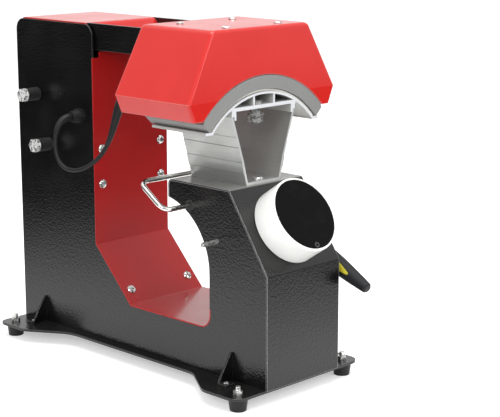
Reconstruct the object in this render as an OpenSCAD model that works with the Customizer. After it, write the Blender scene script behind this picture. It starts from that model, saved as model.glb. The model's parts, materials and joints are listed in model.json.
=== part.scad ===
// Cap heat press. Millimetres, +Z up. The front faces -Y and +X is the operator's right.
// Sizes are measured from the frame's front face (y), the top of the base plate (z)
// and the middle of the frame (x). The finished model stands on its feet at z = 0,
// with its origin under the middle of the whole machine.

/* [Frame] */
// Width over the two side plates
frame_w = 120; // [114:1:150]
// Thickness of the side plates
plate_t = 2.5; // [2:0.5:4]
// Thickness of the folded cover over the nose
cover_t = 2; // [1:0.5:3]
// Thickness of the red sheet in the throat and of the arm cover
panel_t = 1.5; // [1:0.5:2.5]
// Side play between parts that stand between two plates
side_gap = 0.2; // [0.1:0.05:0.4]
// Height of the nose, which carries the stand
nose_h = 222; // [200:1:240]
// Height of the upright front face, below the slanted panel
front_face_h = 132.4; // [110:0.1:150]
// Free depth of the throat, from the nose to the column
throat_gap = 133; // [110:1:160]
// Depth of the column
column_d = 149; // [140:1:170]
// Corner radius at the top of the column
column_corner_r = 14; // [6:1:20]
// Height of the throat's floor
throat_floor_z = 55; // [40:1:70]
// Distance from the frame's front to the throat
nose_wall_y = 92; // [84:1:100]
// Radius of the curve at the back of the nose
throat_curve_r = 83.2; // [78:0.1:90]
// Height of the diagonal of the throat
diagonal_h = 66; // [50:1:80]
// Depth of the diagonal of the throat
diagonal_d = 63; // [50:1:75]
// Radius at the front of the throat's floor
floor_corner_r = 15; // [8:1:25]

/* [Base] */
// Thickness of the base plate
base_t = 3; // [2:0.5:5]
// Width of the base plate at its waist
waist_w = 141; // [130:1:160]
// Width of the base plate over its four ears
ear_w = 209; // [190:1:230]
// Side distance from the middle to a foot
foot_x = 88; // [80:1:94]
// Distance of the feet from the ends of the base plate
foot_inset = 15; // [13:1:20]
// Diameter of a rubber foot at its top
foot_d = 23; // [18:1:30]
// Diameter of a rubber foot on the table
foot_base_d = 19; // [15:1:24]
// Height of a rubber foot
foot_h = 15; // [10:1:25]
// Diameter of the screw through a foot
foot_screw_d = 6; // [5:1:8]
// Height of the triangular stiffeners
gusset_h = 34; // [20:1:50]
// Reach of the triangular stiffeners from the side plates
gusset_out = 22; // [14:1:26]
// Thickness of the triangular stiffeners
gusset_t = 2.5; // [2:0.5:4]

/* [Press] */
// Radius of the curved face of the cap pad
pad_r = 112.7; // [105:0.1:118]
// Thickness of the silicone pad
pad_t = 3; // [2:0.5:5]
// Thickness of the curved wall under the pad
saddle_t = 2.5; // [2:0.5:4]
// Half of the angle that the pad spans
pad_half_angle = 48.7; // [46:0.1:50]
// Gap between pad and heating platen when the head is down
press_gap = 0.3; // [0.3:0.1:1]
// Thickness of the curved heating platen
platen_t = 15.3; // [12:0.1:18]
// Length of pad and platen from front to back
press_len = 90; // [80:1:110]
// Distance of pad and platen from the frame's front
press_front_y = 62; // [58:1:70]

/* [Stand] */
// Height of the stand, from the nose to the lid of the saddle
stand_h = 86.5; // [76:0.5:100]
// Width of the stand at its foot
stand_foot_w = 55.2; // [46:0.1:64]
// Height of the bend in the stand's walls
stand_knee_h = 28; // [24:1:34]
// Width of the stand at that bend
stand_knee_w = 69.4; // [62:0.1:76]
// Width of the stand at the lid of the saddle
stand_top_w = 107.3; // [102:0.1:112]
// Wall of the stand
stand_wall = 2.8; // [2:0.1:4]
// Thickness of the saddle's lid
lid_t = 4; // [3:0.5:6]
// Distance between the two upright ribs of the saddle
rib_pitch = 32.6; // [26:0.1:40]
// Diameter of the bolts that hold the saddle
saddle_bolt_d = 10; // [8:1:12]

/* [Head] */
// Width of the hood over its side creases
hood_w = 237.7; // [225:0.1:250]
// Width of the hood's flat top
hood_top_w = 154.6; // [140:0.1:170]
// Height of the hood
hood_h = 97.5; // [90:0.5:110]
// Height of the crease above the hood's lower edge
crease_h = 20.5; // [14:0.5:30]
// Length of the hood
hood_len = 123.5; // [118:0.5:140]
// Sheet thickness of the hood
hood_t = 1.5; // [1:0.25:2.5]
// Radius of the hood's bent edges
hood_edge_r = 4; // [2.5:0.5:6]
// Height of the lifting arm
arm_h = 32; // [28:0.5:34]
// Thickness of the arm's side plates
arm_t = 2.5; // [2:0.5:4]
// Gap between the arm and the column's side plates
arm_gap = 0.8; // [0.4:0.1:1.5]
// Largest opening angle of the head
lift_angle = 30; // [20:1:35]

/* [Lift drive] */
// Distance of the arm's pivot from the back of the column
pivot_inset = 40; // [36:1:50]
// Distance of the arm's pivot below the column's top
pivot_drop = 93; // [85:1:100]
// Diameter of the pivot bolts
pivot_d = 10; // [8:1:12]
// Length of the spacers outside the left plate
spacer_len = 20; // [10:1:25]
// Diameter of the spacers
spacer_d = 15; // [14:1:20]
// Running clearance of pins in their holes
pin_gap = 0.05; // [0.02:0.01:0.1]
// Extra clearance of the rod's eye on its pin
eye_gap = 0.9; // [0.8:0.1:1.5]
// Diameter of the drive's rod
rod_d = 10; // [8:1:14]
// Diameter of the drive's tube
tube_d = 24; // [20:1:28]

/* [Cap bail] */
// Diameter of the bail's wire
bail_d = 6; // [4:0.5:8]
// Width of the bail over its arms
bail_w = 200; // [180:1:220]
// Distance of the bail's pivot below the nose's top
bail_drop = 27; // [24:0.5:31]
// Distance of the bail's pivot from the frame's front
bail_y = 124; // [118:1:128]
// Length of the lever's grip
grip_len = 108; // [90:1:120]
// Largest diameter of the grip
grip_d = 23; // [18:1:28]
// Diameter of the grip's end
grip_end_d = 13; // [10:1:16]
// Largest swing of the bail
bail_swing = 70; // [50:1:75]

/* [Control] */
// Diameter of the round control unit
dial_d = 89.8; // [70:0.1:96]
// Depth of the control unit above the slanted panel
dial_depth = 35.4; // [25:0.1:40]
// Wall of the control unit's ring
dial_wall = 2.4; // [1.5:0.1:4]
// Distance of the control unit's centre up the slanted panel
dial_along = 51.7; // [48:0.1:58]

/* [Power] */
// Width of the inlet's socket
socket_w = 24; // [22:0.5:28]
// Height of the inlet's socket
socket_h = 16.5; // [15:0.5:20]
// Width of the switch opening
switch_w = 13; // [10:0.5:16]
// Height of the switch opening
switch_h = 19; // [16:0.5:24]

/* [Hidden] */

$fn = 64;

black_coat = [0.09, 0.09, 0.09];
red_coat = [0.83, 0.17, 0.14];
bare_metal = [0.75, 0.76, 0.75];
bright_metal = [0.86, 0.86, 0.85];
dark_rubber = [0.17, 0.17, 0.18];
white_plastic = [0.93, 0.93, 0.9];
black_plastic = [0.12, 0.12, 0.13];

// Heights of the press line, from the nose up to the hood
lid_z = nose_h + stand_h;
arc_drop = 91.5;
arc_z = lid_z - arc_drop;
platen_r = pad_r + press_gap;
platen_top_r = platen_r + platen_t;
platen_half_angle = pad_half_angle - 1.3;
hood_arc_gap = 0.7;
hood_arc_r = platen_top_r + hood_arc_gap;
hood_bottom_z = arc_z + 85.5;
hood_top_z = hood_bottom_z + hood_h;
crease_z = hood_bottom_z + crease_h;
arm_top_z = hood_top_z - 7.4;
arm_low_z = arm_top_z - arm_h;
column_h = arm_top_z - 1.6;

// Distances from the frame's front to the back
press_back_y = press_front_y + press_len;
slope_top_y = press_front_y - 2.5;
platen_back_y = press_back_y + 5;
nose_back_y = press_back_y + 8;
column_y = nose_back_y + throat_gap;
frame_d = column_y + column_d;
base_front_y = 3;
hood_front_y = press_front_y - 0.3;
hood_back_y = hood_front_y + hood_len;

// Widths between the plates
plate_x = frame_w / 2;
inner_x = plate_x - plate_t;
arm_x = inner_x - arm_gap;

// The lift's pivots, as [y, z]
pivot = [frame_d - pivot_inset, column_h - pivot_drop];
trunnion = pivot + [-21.5, -61.5];
rod_eye = pivot + [-57, 2];
drive_dir = (rod_eye - trunnion) / norm(rod_eye - trunnion);
drive_tilt = atan2(-drive_dir[0], drive_dir[1]);
drive_len = norm(rod_eye - trunnion);

// The slanted panel and the control unit on it
slope_low = [0, front_face_h];
slope_top = [slope_top_y, nose_h];
slope_dir = (slope_top - slope_low) / norm(slope_top - slope_low);
slope_lean = atan2(slope_dir[1], slope_dir[0]);
dial_seat = slope_low + slope_dir * dial_along;

// The lever, from the bail's pivot to the end of the grip, as [y, z]
bail_pivot = [bail_y, nose_h - bail_drop];
grip_start = bail_pivot + [-54, -52];
grip_fall = 24.5;
grip_dir = [-cos(grip_fall), -sin(grip_fall)];
grip_end = grip_start + grip_dir * grip_len;
grip_x = plate_x + 18;
grip_tip_r = grip_end_d / 2 - 1.8;
front_y = grip_end[0] + 0.5 * grip_dir[0] - grip_tip_r * sin(grip_fall);

// The origin lies under the middle of the whole machine
middle_y = (front_y + frame_d) / 2;
ground_z = -base_t - foot_h;
module machine() translate([0, -middle_y, -ground_z]) children();

// Flat drawing tools
function unit(v) = v / norm(v);
function right(v) = [v[1], -v[0]];
function reversed(list) = [for (i = [len(list) - 1 : -1 : 0]) list[i]];
function arc(centre, r, a0, a1, n) =
    [for (i = [0 : n]) centre + r * [cos(a0 + (a1 - a0) * i / n), sin(a0 + (a1 - a0) * i / n)]];

// The rounded corner at b between a and c
function corner(a, b, c, r, n = 6) =
    r < 0.01 ? [b] :
    let (u = unit(a - b), v = unit(c - b),
         half = acos(u * v) / 2,
         m = b + unit(u + v) * r / sin(half),
         p = b + u * r / tan(half) - m,
         q = b + v * r / tan(half) - m,
         a0 = atan2(p[1], p[0]),
         step = atan2(q[1], q[0]) - a0,
         turn = step > 180 ? step - 360 : step < -180 ? step + 360 : step)
    [for (i = [0 : n]) m + r * [cos(a0 + turn * i / n), sin(a0 + turn * i / n)]];

// A closed outline whose corners are given as [x, y, radius]
function rounded(corners) = [for (i = [0 : len(corners) - 1])
    let (k = len(corners), a = corners[(i + k - 1) % k], b = corners[i], c = corners[(i + 1) % k])
    each corner([a[0], a[1]], [b[0], b[1]], [c[0], c[1]], len(b) > 2 ? b[2] : 0)];

// An open path with one radius for each of its inner points
function softened(path, radii) = [for (i = [0 : len(path) - 1])
    each i == 0 || i == len(path) - 1 ? [path[i]]
        : corner(path[i - 1], path[i], path[i + 1], radii[i - 1])];

// An open path moved sideways by d, to the right of its direction
function shifted(path, d) = [for (i = [0 : len(path) - 1])
    let (a = i > 0 ? unit(path[i] - path[i - 1]) : unit(path[1] - path[0]),
         b = i < len(path) - 1 ? unit(path[i + 1] - path[i]) : a)
    path[i] + (right(a) + right(b)) * d / (1 + right(a) * right(b))];

// A folded sheet: radii are those of the inner side of each bend
function folded(path, t, radii) =
    let (other = shifted(path, t), grown = [for (r = radii) r + abs(t)])
    t > 0 ? concat(softened(path, grown), reversed(softened(other, radii)))
        : concat(softened(path, radii), reversed(softened(other, grown)));

// Solids: a drawing in y and z pushed along x, one in x and z pushed along y, and rods
module along_x(x0, x1) translate([x0, 0, 0]) rotate([90, 0, 90]) linear_extrude(x1 - x0) children();
module along_y(y0, y1) translate([0, y1, 0]) rotate([90, 0, 0]) linear_extrude(y1 - y0) children();
module rod_x(x0, x1, at, r) translate([x0, at[0], at[1]]) rotate([0, 90, 0]) cylinder(h = x1 - x0, r = r);
module rod_y(y0, y1, x, z, r) translate([x, y1, z]) rotate([90, 0, 0]) cylinder(h = y1 - y0, r = r);
module block(low, high) translate(low) cube(high - low);
module both_sides() for (side = [0, 1]) mirror([side, 0, 0]) children();

module on_slope() translate([0, dial_seat[0], dial_seat[1]]) rotate([slope_lean, 0, 0]) children();
module on_drive() translate([0, trunnion[0], trunnion[1]]) rotate([drive_tilt, 0, 0]) children();

// A pan-head screw standing on z = 0, its shank going down
module pan_screw(d, head_d, shank) {
    difference() {
        rotate_extrude() polygon([[0, 0], [head_d / 2, 0], [head_d / 2, d * 0.22],
            [head_d * 0.42, d * 0.42], [head_d * 0.26, d * 0.54], [0, d * 0.58]]);
        for (turn = [0, 90]) rotate(turn)
            translate([-head_d * 0.26, -d * 0.09, d * 0.28]) cube([head_d * 0.52, d * 0.18, d]);
    }
    translate([0, 0, -shank]) cylinder(h = shank + 0.1, r = d / 2);
}

// A hexagonal nut or head standing on z = 0, across flats w
module hexagon(w, h) rotate(30) cylinder(h = h, r = w / sqrt(3), $fn = 6);
module nut(d, w, h) difference() {
    hexagon(w, h);
    translate([0, 0, -1]) cylinder(h = h + 2, r = d / 2 + pin_gap);
}

// Outlines of the frame, as [y, z]
throat_y = column_y - diagonal_d;
fold_z = throat_floor_z + diagonal_h;
curve_centre_y = nose_wall_y + throat_curve_r;
curve_end = acos((nose_back_y - curve_centre_y) / throat_curve_r);
nose_under_z = nose_h - 21.6;
curve_centre_z = nose_under_z - throat_curve_r * sin(curve_end);
curve_centre = [curve_centre_y, curve_centre_z];
lip_z = throat_floor_z + 22;
panel_top_z = arm_low_z - 9.6;
nose_path = [[0, 0], [0, front_face_h], slope_top, [nose_back_y, nose_h],
    [nose_back_y, nose_under_z]];
nose_bends = [1, 1.5, 4.5];
throat_path = [[column_y, panel_top_z], [column_y, fold_z], [throat_y, throat_floor_z],
    [nose_wall_y, throat_floor_z], [nose_wall_y, lip_z]];
throat_bends = [1.5, 1.5, floor_corner_r];
nose_seat = softened(shifted(nose_path, cover_t), nose_bends);
throat_seat = softened(shifted(throat_path, -panel_t), [for (r = throat_bends) r + panel_t]);
plate_outline = concat(nose_seat,
    arc(curve_centre, throat_curve_r, curve_end, 180, 18),
    [[nose_wall_y, lip_z]],
    reversed(throat_seat),
    [[column_y, panel_top_z]],
    corner([column_y, 0], [column_y, column_h], [frame_d, column_h], column_corner_r, 8),
    corner([column_y, column_h], [frame_d, column_h], [frame_d, 0], column_corner_r, 8),
    [[frame_d, 0]]);

// Places of the frame's fasteners
cover_in = 2.5;
rear_y = frame_d - cover_in;
rear_top_z = pivot[1] - 53;
rear_screw_z = [18, rear_top_z - 14];
rear_screw_x = inner_x - 9;
foot_y = [base_front_y + foot_inset, frame_d - foot_inset];
gusset_y = [56, frame_d - 44];
gusset_screw_y = [gusset_y[0] - 6, gusset_y[1] + 6];
gusset_screw_x = plate_x + 15;
gland = [column_y + 25, pivot[1] - 19.5];
gland_r = 9;
gland_hole_r = 6;
pin_place = [79, 160];
stand_bolt_y = [press_front_y + 11, press_back_y - 12];

// Base
function base_side(s) = [
    [s * ear_w / 2, base_front_y, 14], [s * ear_w / 2, base_front_y + 57, 24],
    [s * waist_w / 2, base_front_y + 107, 30], [s * waist_w / 2, frame_d - 106, 50],
    [s * ear_w / 2, frame_d - 53, 24], [s * ear_w / 2, frame_d, 12]];

module base_plate() color(black_coat) machine() difference() {
    translate([0, 0, -base_t]) linear_extrude(base_t)
        polygon(rounded(concat(base_side(1), reversed(base_side(-1)))));
    for (y = foot_y) both_sides() translate([foot_x, y, -base_t - 1])
        cylinder(h = base_t + 2, r = foot_screw_d / 2 + 0.2);
    for (y = gusset_screw_y) both_sides() translate([gusset_screw_x, y, -base_t - 1])
        cylinder(h = base_t + 2, r = 1.6);
}

// The head of each foot's screw lies in a pocket in the rubber
pocket_r = foot_screw_d * 0.95;
pocket_h = foot_h * 0.4;
module rubber_feet() color(dark_rubber) machine()
    for (y = foot_y) both_sides() translate([foot_x, y, ground_z]) difference() {
        cylinder(h = foot_h, r1 = foot_base_d / 2, r2 = foot_d / 2);
        translate([0, 0, -1]) cylinder(h = foot_h + 2, r = foot_screw_d / 2 + 0.2);
        translate([0, 0, -1]) cylinder(h = pocket_h + 1, r = pocket_r);
    }

foot_nut_h = foot_screw_d * 0.75;
module foot_screws() color(bright_metal) machine()
    for (y = foot_y) both_sides() translate([foot_x, y, ground_z + pocket_h]) {
        translate([0, 0, -foot_screw_d * 0.5])
            cylinder(h = foot_screw_d * 0.5, r = pocket_r - 0.4);
        cylinder(h = foot_h - pocket_h + base_t + foot_nut_h + 5, r = foot_screw_d / 2);
    }

module foot_nuts() color(bright_metal) machine()
    for (y = foot_y) both_sides() translate([foot_x, y, 0])
        nut(foot_screw_d, foot_screw_d * 1.65, foot_nut_h);

module gussets() color(black_coat) machine()
    for (end = [0, 1]) both_sides() {
        y = gusset_y[end];
        screw_y = gusset_screw_y[end];
        along_y(y - gusset_t / 2, y + gusset_t / 2) polygon(rounded([[plate_x, 0, 0],
            [plate_x + gusset_out, 0, 0], [plate_x + gusset_out, 3, 1],
            [plate_x + 3, gusset_h, 2], [plate_x, gusset_h, 0]]));
        difference() {
            block([gusset_screw_x - 7, min(y, screw_y - 6), 0],
                [gusset_screw_x + 7, max(y, screw_y + 6), 2]);
            translate([gusset_screw_x, screw_y, -1]) cylinder(h = 4, r = 1.6);
        }
    }

module gusset_screws() color(bright_metal) machine()
    for (y = gusset_screw_y) both_sides() translate([gusset_screw_x, y, 2])
        pan_screw(3, 6.4, base_t + 2);

// Frame
bush_r = bail_d / 2 + 3;
bush_flange_r = bush_r + 2;
bush_flange_t = 2.5;
module side_plate() {
    difference() {
        along_x(inner_x, plate_x) polygon(plate_outline);
        for (at = [pivot, trunnion]) rod_x(inner_x - 1, plate_x + 1, at, pivot_d / 2 + pin_gap);
        rod_x(inner_x - 1, plate_x + 1, bail_pivot, bush_r);
    }
    for (z = rear_screw_z) difference() {
        block([rear_screw_x - 7, rear_y - cover_t - 2, z - 8], [inner_x + 0.1, rear_y - cover_t, z + 8]);
        rod_y(rear_y - cover_t - 3, rear_y, rear_screw_x, z, 2.1);
    }
    for (at = screw_places) intersection() {
        along_x(at[0] - 8, inner_x + 0.1) polygon(tab_outline(at));
        block([0, 0, 0], [plate_x, frame_d, column_h]);
    }
}

module left_side_plate() color(black_coat) machine() difference() {
    mirror([1, 0, 0]) side_plate();
    rod_x(-plate_x - 1, -inner_x + 1, gland, gland_hole_r);
    rod_x(-plate_x - 1, -inner_x + 1, pin_place, 3);
}

module right_side_plate() color(black_coat) machine() side_plate();

// Screws of the throat panel: [x, y, z] on its face and the angle of the face
diagonal = unit([diagonal_d, diagonal_h]);
diagonal_tilt = atan2(diagonal_h, diagonal_d);
screw_places = [[inner_x - 9.5, column_y, panel_top_z - 112, 90],
    [inner_x - 9.5, column_y, panel_top_z - 156, 90],
    [inner_x - 10.5, throat_y + 20 * diagonal[0], throat_floor_z + 20 * diagonal[1], diagonal_tilt]];
// The tab of a side plate behind such a screw, as a strip along the panel's back
function tab_outline(at) =
    let (along = [cos(at[3]), sin(at[3])], back = [sin(at[3]), -cos(at[3])],
         seat = [at[1], at[2]] + back * panel_t)
    [seat - along * 9, seat + along * 9, seat + along * 9 + back * 2, seat - along * 9 + back * 2];

module panel_screws() color(bright_metal) machine()
    for (at = screw_places) both_sides()
        translate([at[0], at[1], at[2]]) rotate([at[3], 0, 0]) pan_screw(5, 11, panel_t);

module throat_panel() color(red_coat) machine() difference() {
    along_x(-plate_x, plate_x) polygon(folded(concat([[column_y, panel_top_z + 7]],
        [for (i = [1 : 4]) throat_path[i]]), -panel_t, throat_bends));
    both_sides() block([plate_x - 11, column_y - 1, panel_top_z], [plate_x + 1, column_y + 4, column_h]);
    for (at = screw_places) both_sides()
        translate([at[0], at[1], at[2]]) rotate([at[3], 0, 0]) translate([0, 0, -panel_t - 1])
            cylinder(h = panel_t + 2, r = 2.6);
}

dial_hole_r = dial_d / 2 - 16;
module nose_cover() color(black_coat) machine() difference() {
    along_x(-plate_x, plate_x) polygon(folded(nose_path, cover_t, nose_bends));
    on_slope() translate([0, 0, -cover_t - 1]) cylinder(h = cover_t + 2, r = dial_hole_r);
    for (y = stand_bolt_y) translate([0, y, nose_h - cover_t - 1])
        cylinder(h = cover_t + 2, r = 3.1);
}

module nose_back() color(black_coat) machine() {
    end_angle = acos((nose_back_y - cover_t - side_gap - curve_centre_y) / throat_curve_r);
    path = concat(arc(curve_centre, throat_curve_r, end_angle, 180, 18),
        [[nose_wall_y, lip_z + side_gap]]);
    back = concat(arc(curve_centre, throat_curve_r + panel_t, end_angle, 180, 18),
        [[nose_wall_y - panel_t, lip_z + side_gap]]);
    difference() {
        along_x(-inner_x + side_gap, inner_x - side_gap) polygon(concat(path, reversed(back)));
        both_sides() rod_x(inner_x - bush_flange_t - 1, inner_x, bail_pivot, bush_flange_r + 0.5);
    }
}

// Back of the column
inlet_z = 62;
switch_x = 24;
inlet_x = -12;
inlet_w = socket_w + 16;
inlet_h = socket_h + 26;
module rear_cover() color(black_coat) machine() difference() {
    along_x(-inner_x + side_gap, inner_x - side_gap)
        polygon([[rear_y - cover_t, 0], [rear_y, 0], [rear_y, rear_top_z], [rear_y - cover_t, rear_top_z]]);
    for (z = rear_screw_z) both_sides() rod_y(rear_y - 5, rear_y + 5, rear_screw_x, z, 2.1);
    block([inlet_x - inlet_w / 2 + 4, rear_y - 5, inlet_z - inlet_h / 2 + 4],
        [inlet_x + inlet_w / 2 - 4, rear_y + 5, inlet_z + inlet_h / 2 - 4]);
    block([switch_x - switch_w / 2 - 1.5, rear_y - 5, inlet_z - switch_h / 2 - 1.5],
        [switch_x + switch_w / 2 + 1.5, rear_y + 5, inlet_z + switch_h / 2 + 1.5]);
    for (row = [0 : 5]) both_sides() translate([22, rear_y + 2, 128 + row * 9]) rotate([90, 0, 0])
        linear_extrude(8) polygon(rounded([[-13, -1.5, 1.4], [13, -1.5, 1.4], [13, 1.5, 1.4], [-13, 1.5, 1.4]]));
}

module rear_screws() color(bright_metal) machine()
    for (z = rear_screw_z) both_sides() translate([rear_screw_x, rear_y, z]) rotate([-90, 0, 0])
        pan_screw(4, 8, cover_t + 2);

// Socket with three pins, behind a flange with a fuse drawer under the opening
flange_t = 2;
fuse_z = inlet_z - 11;
socket_z = inlet_z + 8;
module power_inlet() color(black_plastic) machine() {
    difference() {
        union() {
            block([inlet_x - inlet_w / 2, rear_y, inlet_z - inlet_h / 2],
                [inlet_x + inlet_w / 2, rear_y + flange_t, inlet_z + inlet_h / 2]);
            block([inlet_x - inlet_w / 2 + 4.2, rear_y - 26, inlet_z - inlet_h / 2 + 4.2],
                [inlet_x + inlet_w / 2 - 4.2, rear_y + 0.1, inlet_z + inlet_h / 2 - 4.2]);
        }
        translate([inlet_x, rear_y + 3, socket_z]) rotate([90, 0, 0]) linear_extrude(23)
            polygon(rounded([[-socket_w / 2, -socket_h / 2, 1], [socket_w / 2, -socket_h / 2, 1],
                [socket_w / 2, socket_h / 4, 1], [socket_w / 3, socket_h / 2, 1],
                [-socket_w / 3, socket_h / 2, 1], [-socket_w / 2, socket_h / 4, 1]]));
        block([inlet_x - 11, rear_y - 20, fuse_z - 5], [inlet_x + 11, rear_y + 3, fuse_z + 5]);
    }
    for (place = [[-7, -2], [7, -2], [0, 3]])
        block([inlet_x + place[0] - 1, rear_y - 21, socket_z + place[1] - 2],
            [inlet_x + place[0] + 1, rear_y - 7, socket_z + place[1] + 2]);
}

module fuse_drawer() color([0.2, 0.2, 0.21]) machine() {
    block([inlet_x - 10.8, rear_y - 19, fuse_z - 4.8], [inlet_x + 10.8, rear_y + flange_t, fuse_z + 4.8]);
    block([inlet_x - 3, rear_y + flange_t - 0.1, fuse_z + 2.6],
        [inlet_x + 3, rear_y + flange_t + 0.5, fuse_z + 4.2]);
}

module switch_frame() color(black_plastic) machine() difference() {
    union() {
        block([switch_x - switch_w / 2 - 3, rear_y, inlet_z - switch_h / 2 - 3],
            [switch_x + switch_w / 2 + 3, rear_y + 1.6, inlet_z + switch_h / 2 + 3]);
        block([switch_x - switch_w / 2 - 1.3, rear_y - 20, inlet_z - switch_h / 2 - 1.3],
            [switch_x + switch_w / 2 + 1.3, rear_y + 0.1, inlet_z + switch_h / 2 + 1.3]);
    }
    block([switch_x - switch_w / 2, rear_y - 12, inlet_z - switch_h / 2],
        [switch_x + switch_w / 2, rear_y + 3, inlet_z + switch_h / 2]);
    rod_x(switch_x - switch_w / 2 - 1, switch_x + switch_w / 2 + 1, [rear_y - 6, inlet_z], 1.5 + pin_gap);
}

// The rocker turns 16 degrees about its pin, so its face is bent at the middle
rocker_face = 7.2;
module power_rocker() color(dark_rubber) machine() {
    half = switch_h / 2 - 1;
    along_x(switch_x - switch_w / 2 + 0.4, switch_x + switch_w / 2 - 0.4) translate([rear_y - 6, inlet_z])
        rotate(-8) polygon([[-2.4, -3], [1.5, -half + 2.2], [rocker_face - 1.2, -half + 0.8],
            [rocker_face - 0.6, 0], [rocker_face - 1.2, half - 0.8], [1.5, half - 2.2], [-2.4, 3]]);
    rod_x(switch_x - switch_w / 2 - 0.8, switch_x + switch_w / 2 + 0.8, [rear_y - 6, inlet_z], 1.5);
}

// Electrics inside the column
supply_size = [72, 88, 42];
supply_low = [-inner_x + 15.5, column_y + 30, 0];
supply = [supply_low, supply_low + supply_size];
module power_supply() color(bare_metal) machine() {
    difference() {
        block(supply[0], supply[1]);
        block(supply[0] + [1, 1, 1], supply[1] - [1, 1, 1]);
        for (i = [0 : 6]) block(supply_low + [7 + i * 9, 10, supply_size[2] - 2],
            supply_low + [12 + i * 9, 70, supply_size[2] + 2]);
    }
    block(supply[0] + [4, 6, 0.9], supply[0] + [64, 80, 3]);
    block(supply[0] + [10, 16, 2.9], supply[0] + [30, 38, 26]);
    block(supply[0] + [40, 20, 2.9], supply[0] + [52, 60, 20]);
}

board_x = inner_x - 8;
board_low = [column_y + 34, 70];
board_high = board_low + [70, 68];
module drive_board() color([0.1, 0.35, 0.2]) machine() {
    block([board_x - 1.6, board_low[0], board_low[1]], [board_x, board_high[0], board_high[1]]);
    for (y = [board_low[0] + 6, board_high[0] - 6]) for (z = [board_low[1] + 6, board_high[1] - 6])
        rod_x(board_x - 0.1, inner_x, [y, z], 3);
    block([board_x - 17, column_y + 44, 80], [board_x - 1.5, column_y + 62, 106]);
    block([board_x - 13, column_y + 70, 92], [board_x - 1.5, column_y + 92, 124]);
}

// Pivots of the lift: one bolt through the arm, and two stub bolts that carry the drive
bolt_head_w = pivot_d * 1.5;
bolt_left_x = -plate_x - spacer_len;
bolt_end_x = plate_x + 11;
stub_x = tube_d / 2 + 1.1;
stub_collar_t = 3;
module pivot_bolts() color(bright_metal) machine() {
    rod_x(bolt_left_x - 0.1, bolt_end_x, pivot, pivot_d / 2);
    rod_x(bolt_left_x - 0.1, -stub_x, trunnion, pivot_d / 2);
    rod_x(stub_x, bolt_end_x, trunnion, pivot_d / 2);
    both_sides() rod_x(inner_x - stub_collar_t, inner_x, trunnion, pivot_d * 0.85);
    for (at = [pivot, trunnion]) translate([bolt_left_x, at[0], at[1]]) rotate([0, -90, 0]) {
        cylinder(h = 1.4, r = bolt_head_w / 2 + 0.6);
        hexagon(bolt_head_w, 6.5);
    }
}

module pivot_spacers() color(black_plastic) machine() for (at = [pivot, trunnion]) difference() {
    rod_x(bolt_left_x, -plate_x, at, spacer_d / 2);
    rod_x(bolt_left_x - 1, -plate_x + 1, at, pivot_d / 2 + pin_gap);
}

module pivot_nuts() color(bright_metal) machine() for (at = [pivot, trunnion])
    translate([plate_x, at[0], at[1]]) rotate([0, 90, 0]) {
        difference() {
            cylinder(h = 1.5, r = pivot_d);
            translate([0, 0, -1]) cylinder(h = 4, r = pivot_d / 2 + pin_gap);
        }
        translate([0, 0, 1.5]) nut(pivot_d, pivot_d * 1.6, 8);
    }

// Cable from the left plate to the hood
cable_d = 6.5;
gland_len = 15;
module cable_gland() color(dark_rubber) machine() translate([0, gland[0], gland[1]]) {
    difference() {
        union() {
            translate([-plate_x, 0, 0]) rotate([0, -90, 0]) hexagon(gland_r * 1.9, 5);
            translate([-plate_x - 4.9, 0, 0]) rotate([0, -90, 0])
                cylinder(h = gland_len - 4.9, r1 = gland_r - 1, r2 = gland_r - 3);
            rod_x(-plate_x - 0.1, -inner_x + 8, [0, 0], gland_hole_r);
        }
        rod_x(-plate_x - gland_len - 1, -inner_x + 9, [0, 0], cable_d / 2 + 0.1);
    }
    translate([-inner_x, 0, 0]) rotate([0, 90, 0]) difference() {
        hexagon(gland_r * 1.9, 4);
        translate([0, 0, -1]) cylinder(h = 6, r = gland_hole_r + pin_gap);
    }
}

// The cable's hand-chosen route, in steps from the gland's mouth and then from the relief's mouth
relief_x = -(hood_top_w / 2 - 5.3);
relief_z = crease_z + 11;
relief_len = 14.8;
cable_start = [-plate_x - gland_len, gland[0], gland[1]];
cable_end = [relief_x, hood_back_y + relief_len, relief_z];
gland_steps = [[0, 0, 0], [-4.5, 0, -0.2], [-10, 0.5, -1.7], [-14.6, 1.6, -5.3], [-17.8, 3.1, -10.9],
    [-19.6, 4.5, -18.3], [-20.6, 5.2, -27.1], [-21, 4.7, -36.5], [-21, 2.2, -45.7],
    [-20.5, -2.8, -53.5], [-19.4, -10, -58.6], [-18, -18.6, -60.6], [-16.6, -28, -60.2],
    [-15.2, -37.4, -57.8], [-13.6, -46.8, -53.6]];
relief_steps = [[-14.8, 62.2, -103.3], [-12.8, 53.8, -96], [-10.8, 46.8, -87.2], [-8.8, 41.4, -77.2],
    [-7, 37.4, -66.6], [-5.2, 34.4, -55.6], [-3.4, 31.6, -44.6], [-1.9, 28.2, -33.8],
    [-0.9, 23.9, -23.8], [-0.3, 18.4, -15], [0, 12.6, -7.8], [0, 6.6, -2.6], [0, 0, 0]];
cable_route = concat([for (step = gland_steps) cable_start + step],
    [for (step = relief_steps) cable_end + step]);
cable_sides = 10;
module swept(points, r, sides, start_dir, end_dir) {
    n = len(points);
    dirs = [for (i = [0 : n - 1]) i == 0 ? start_dir : i == n - 1 ? end_dir
        : unit(points[i + 1] - points[i - 1])];
    rings = [for (i = [0 : n - 1])
        let (u = unit(cross(dirs[i], [1, 0.05, 0.02])), v = cross(dirs[i], u))
        for (k = [0 : sides - 1]) points[i] + r * (cos(360 * k / sides) * u + sin(360 * k / sides) * v)];
    polyhedron(rings, concat([[for (k = [sides - 1 : -1 : 0]) k]],
        [for (i = [0 : n - 2]) for (k = [0 : sides - 1]) for (half = [0, 1])
            let (a = i * sides + k, b = i * sides + (k + 1) % sides)
            half == 0 ? [a, b, b + sides] : [a, b + sides, a + sides]],
        [[for (k = [0 : sides - 1]) (n - 1) * sides + k]]));
}

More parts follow.
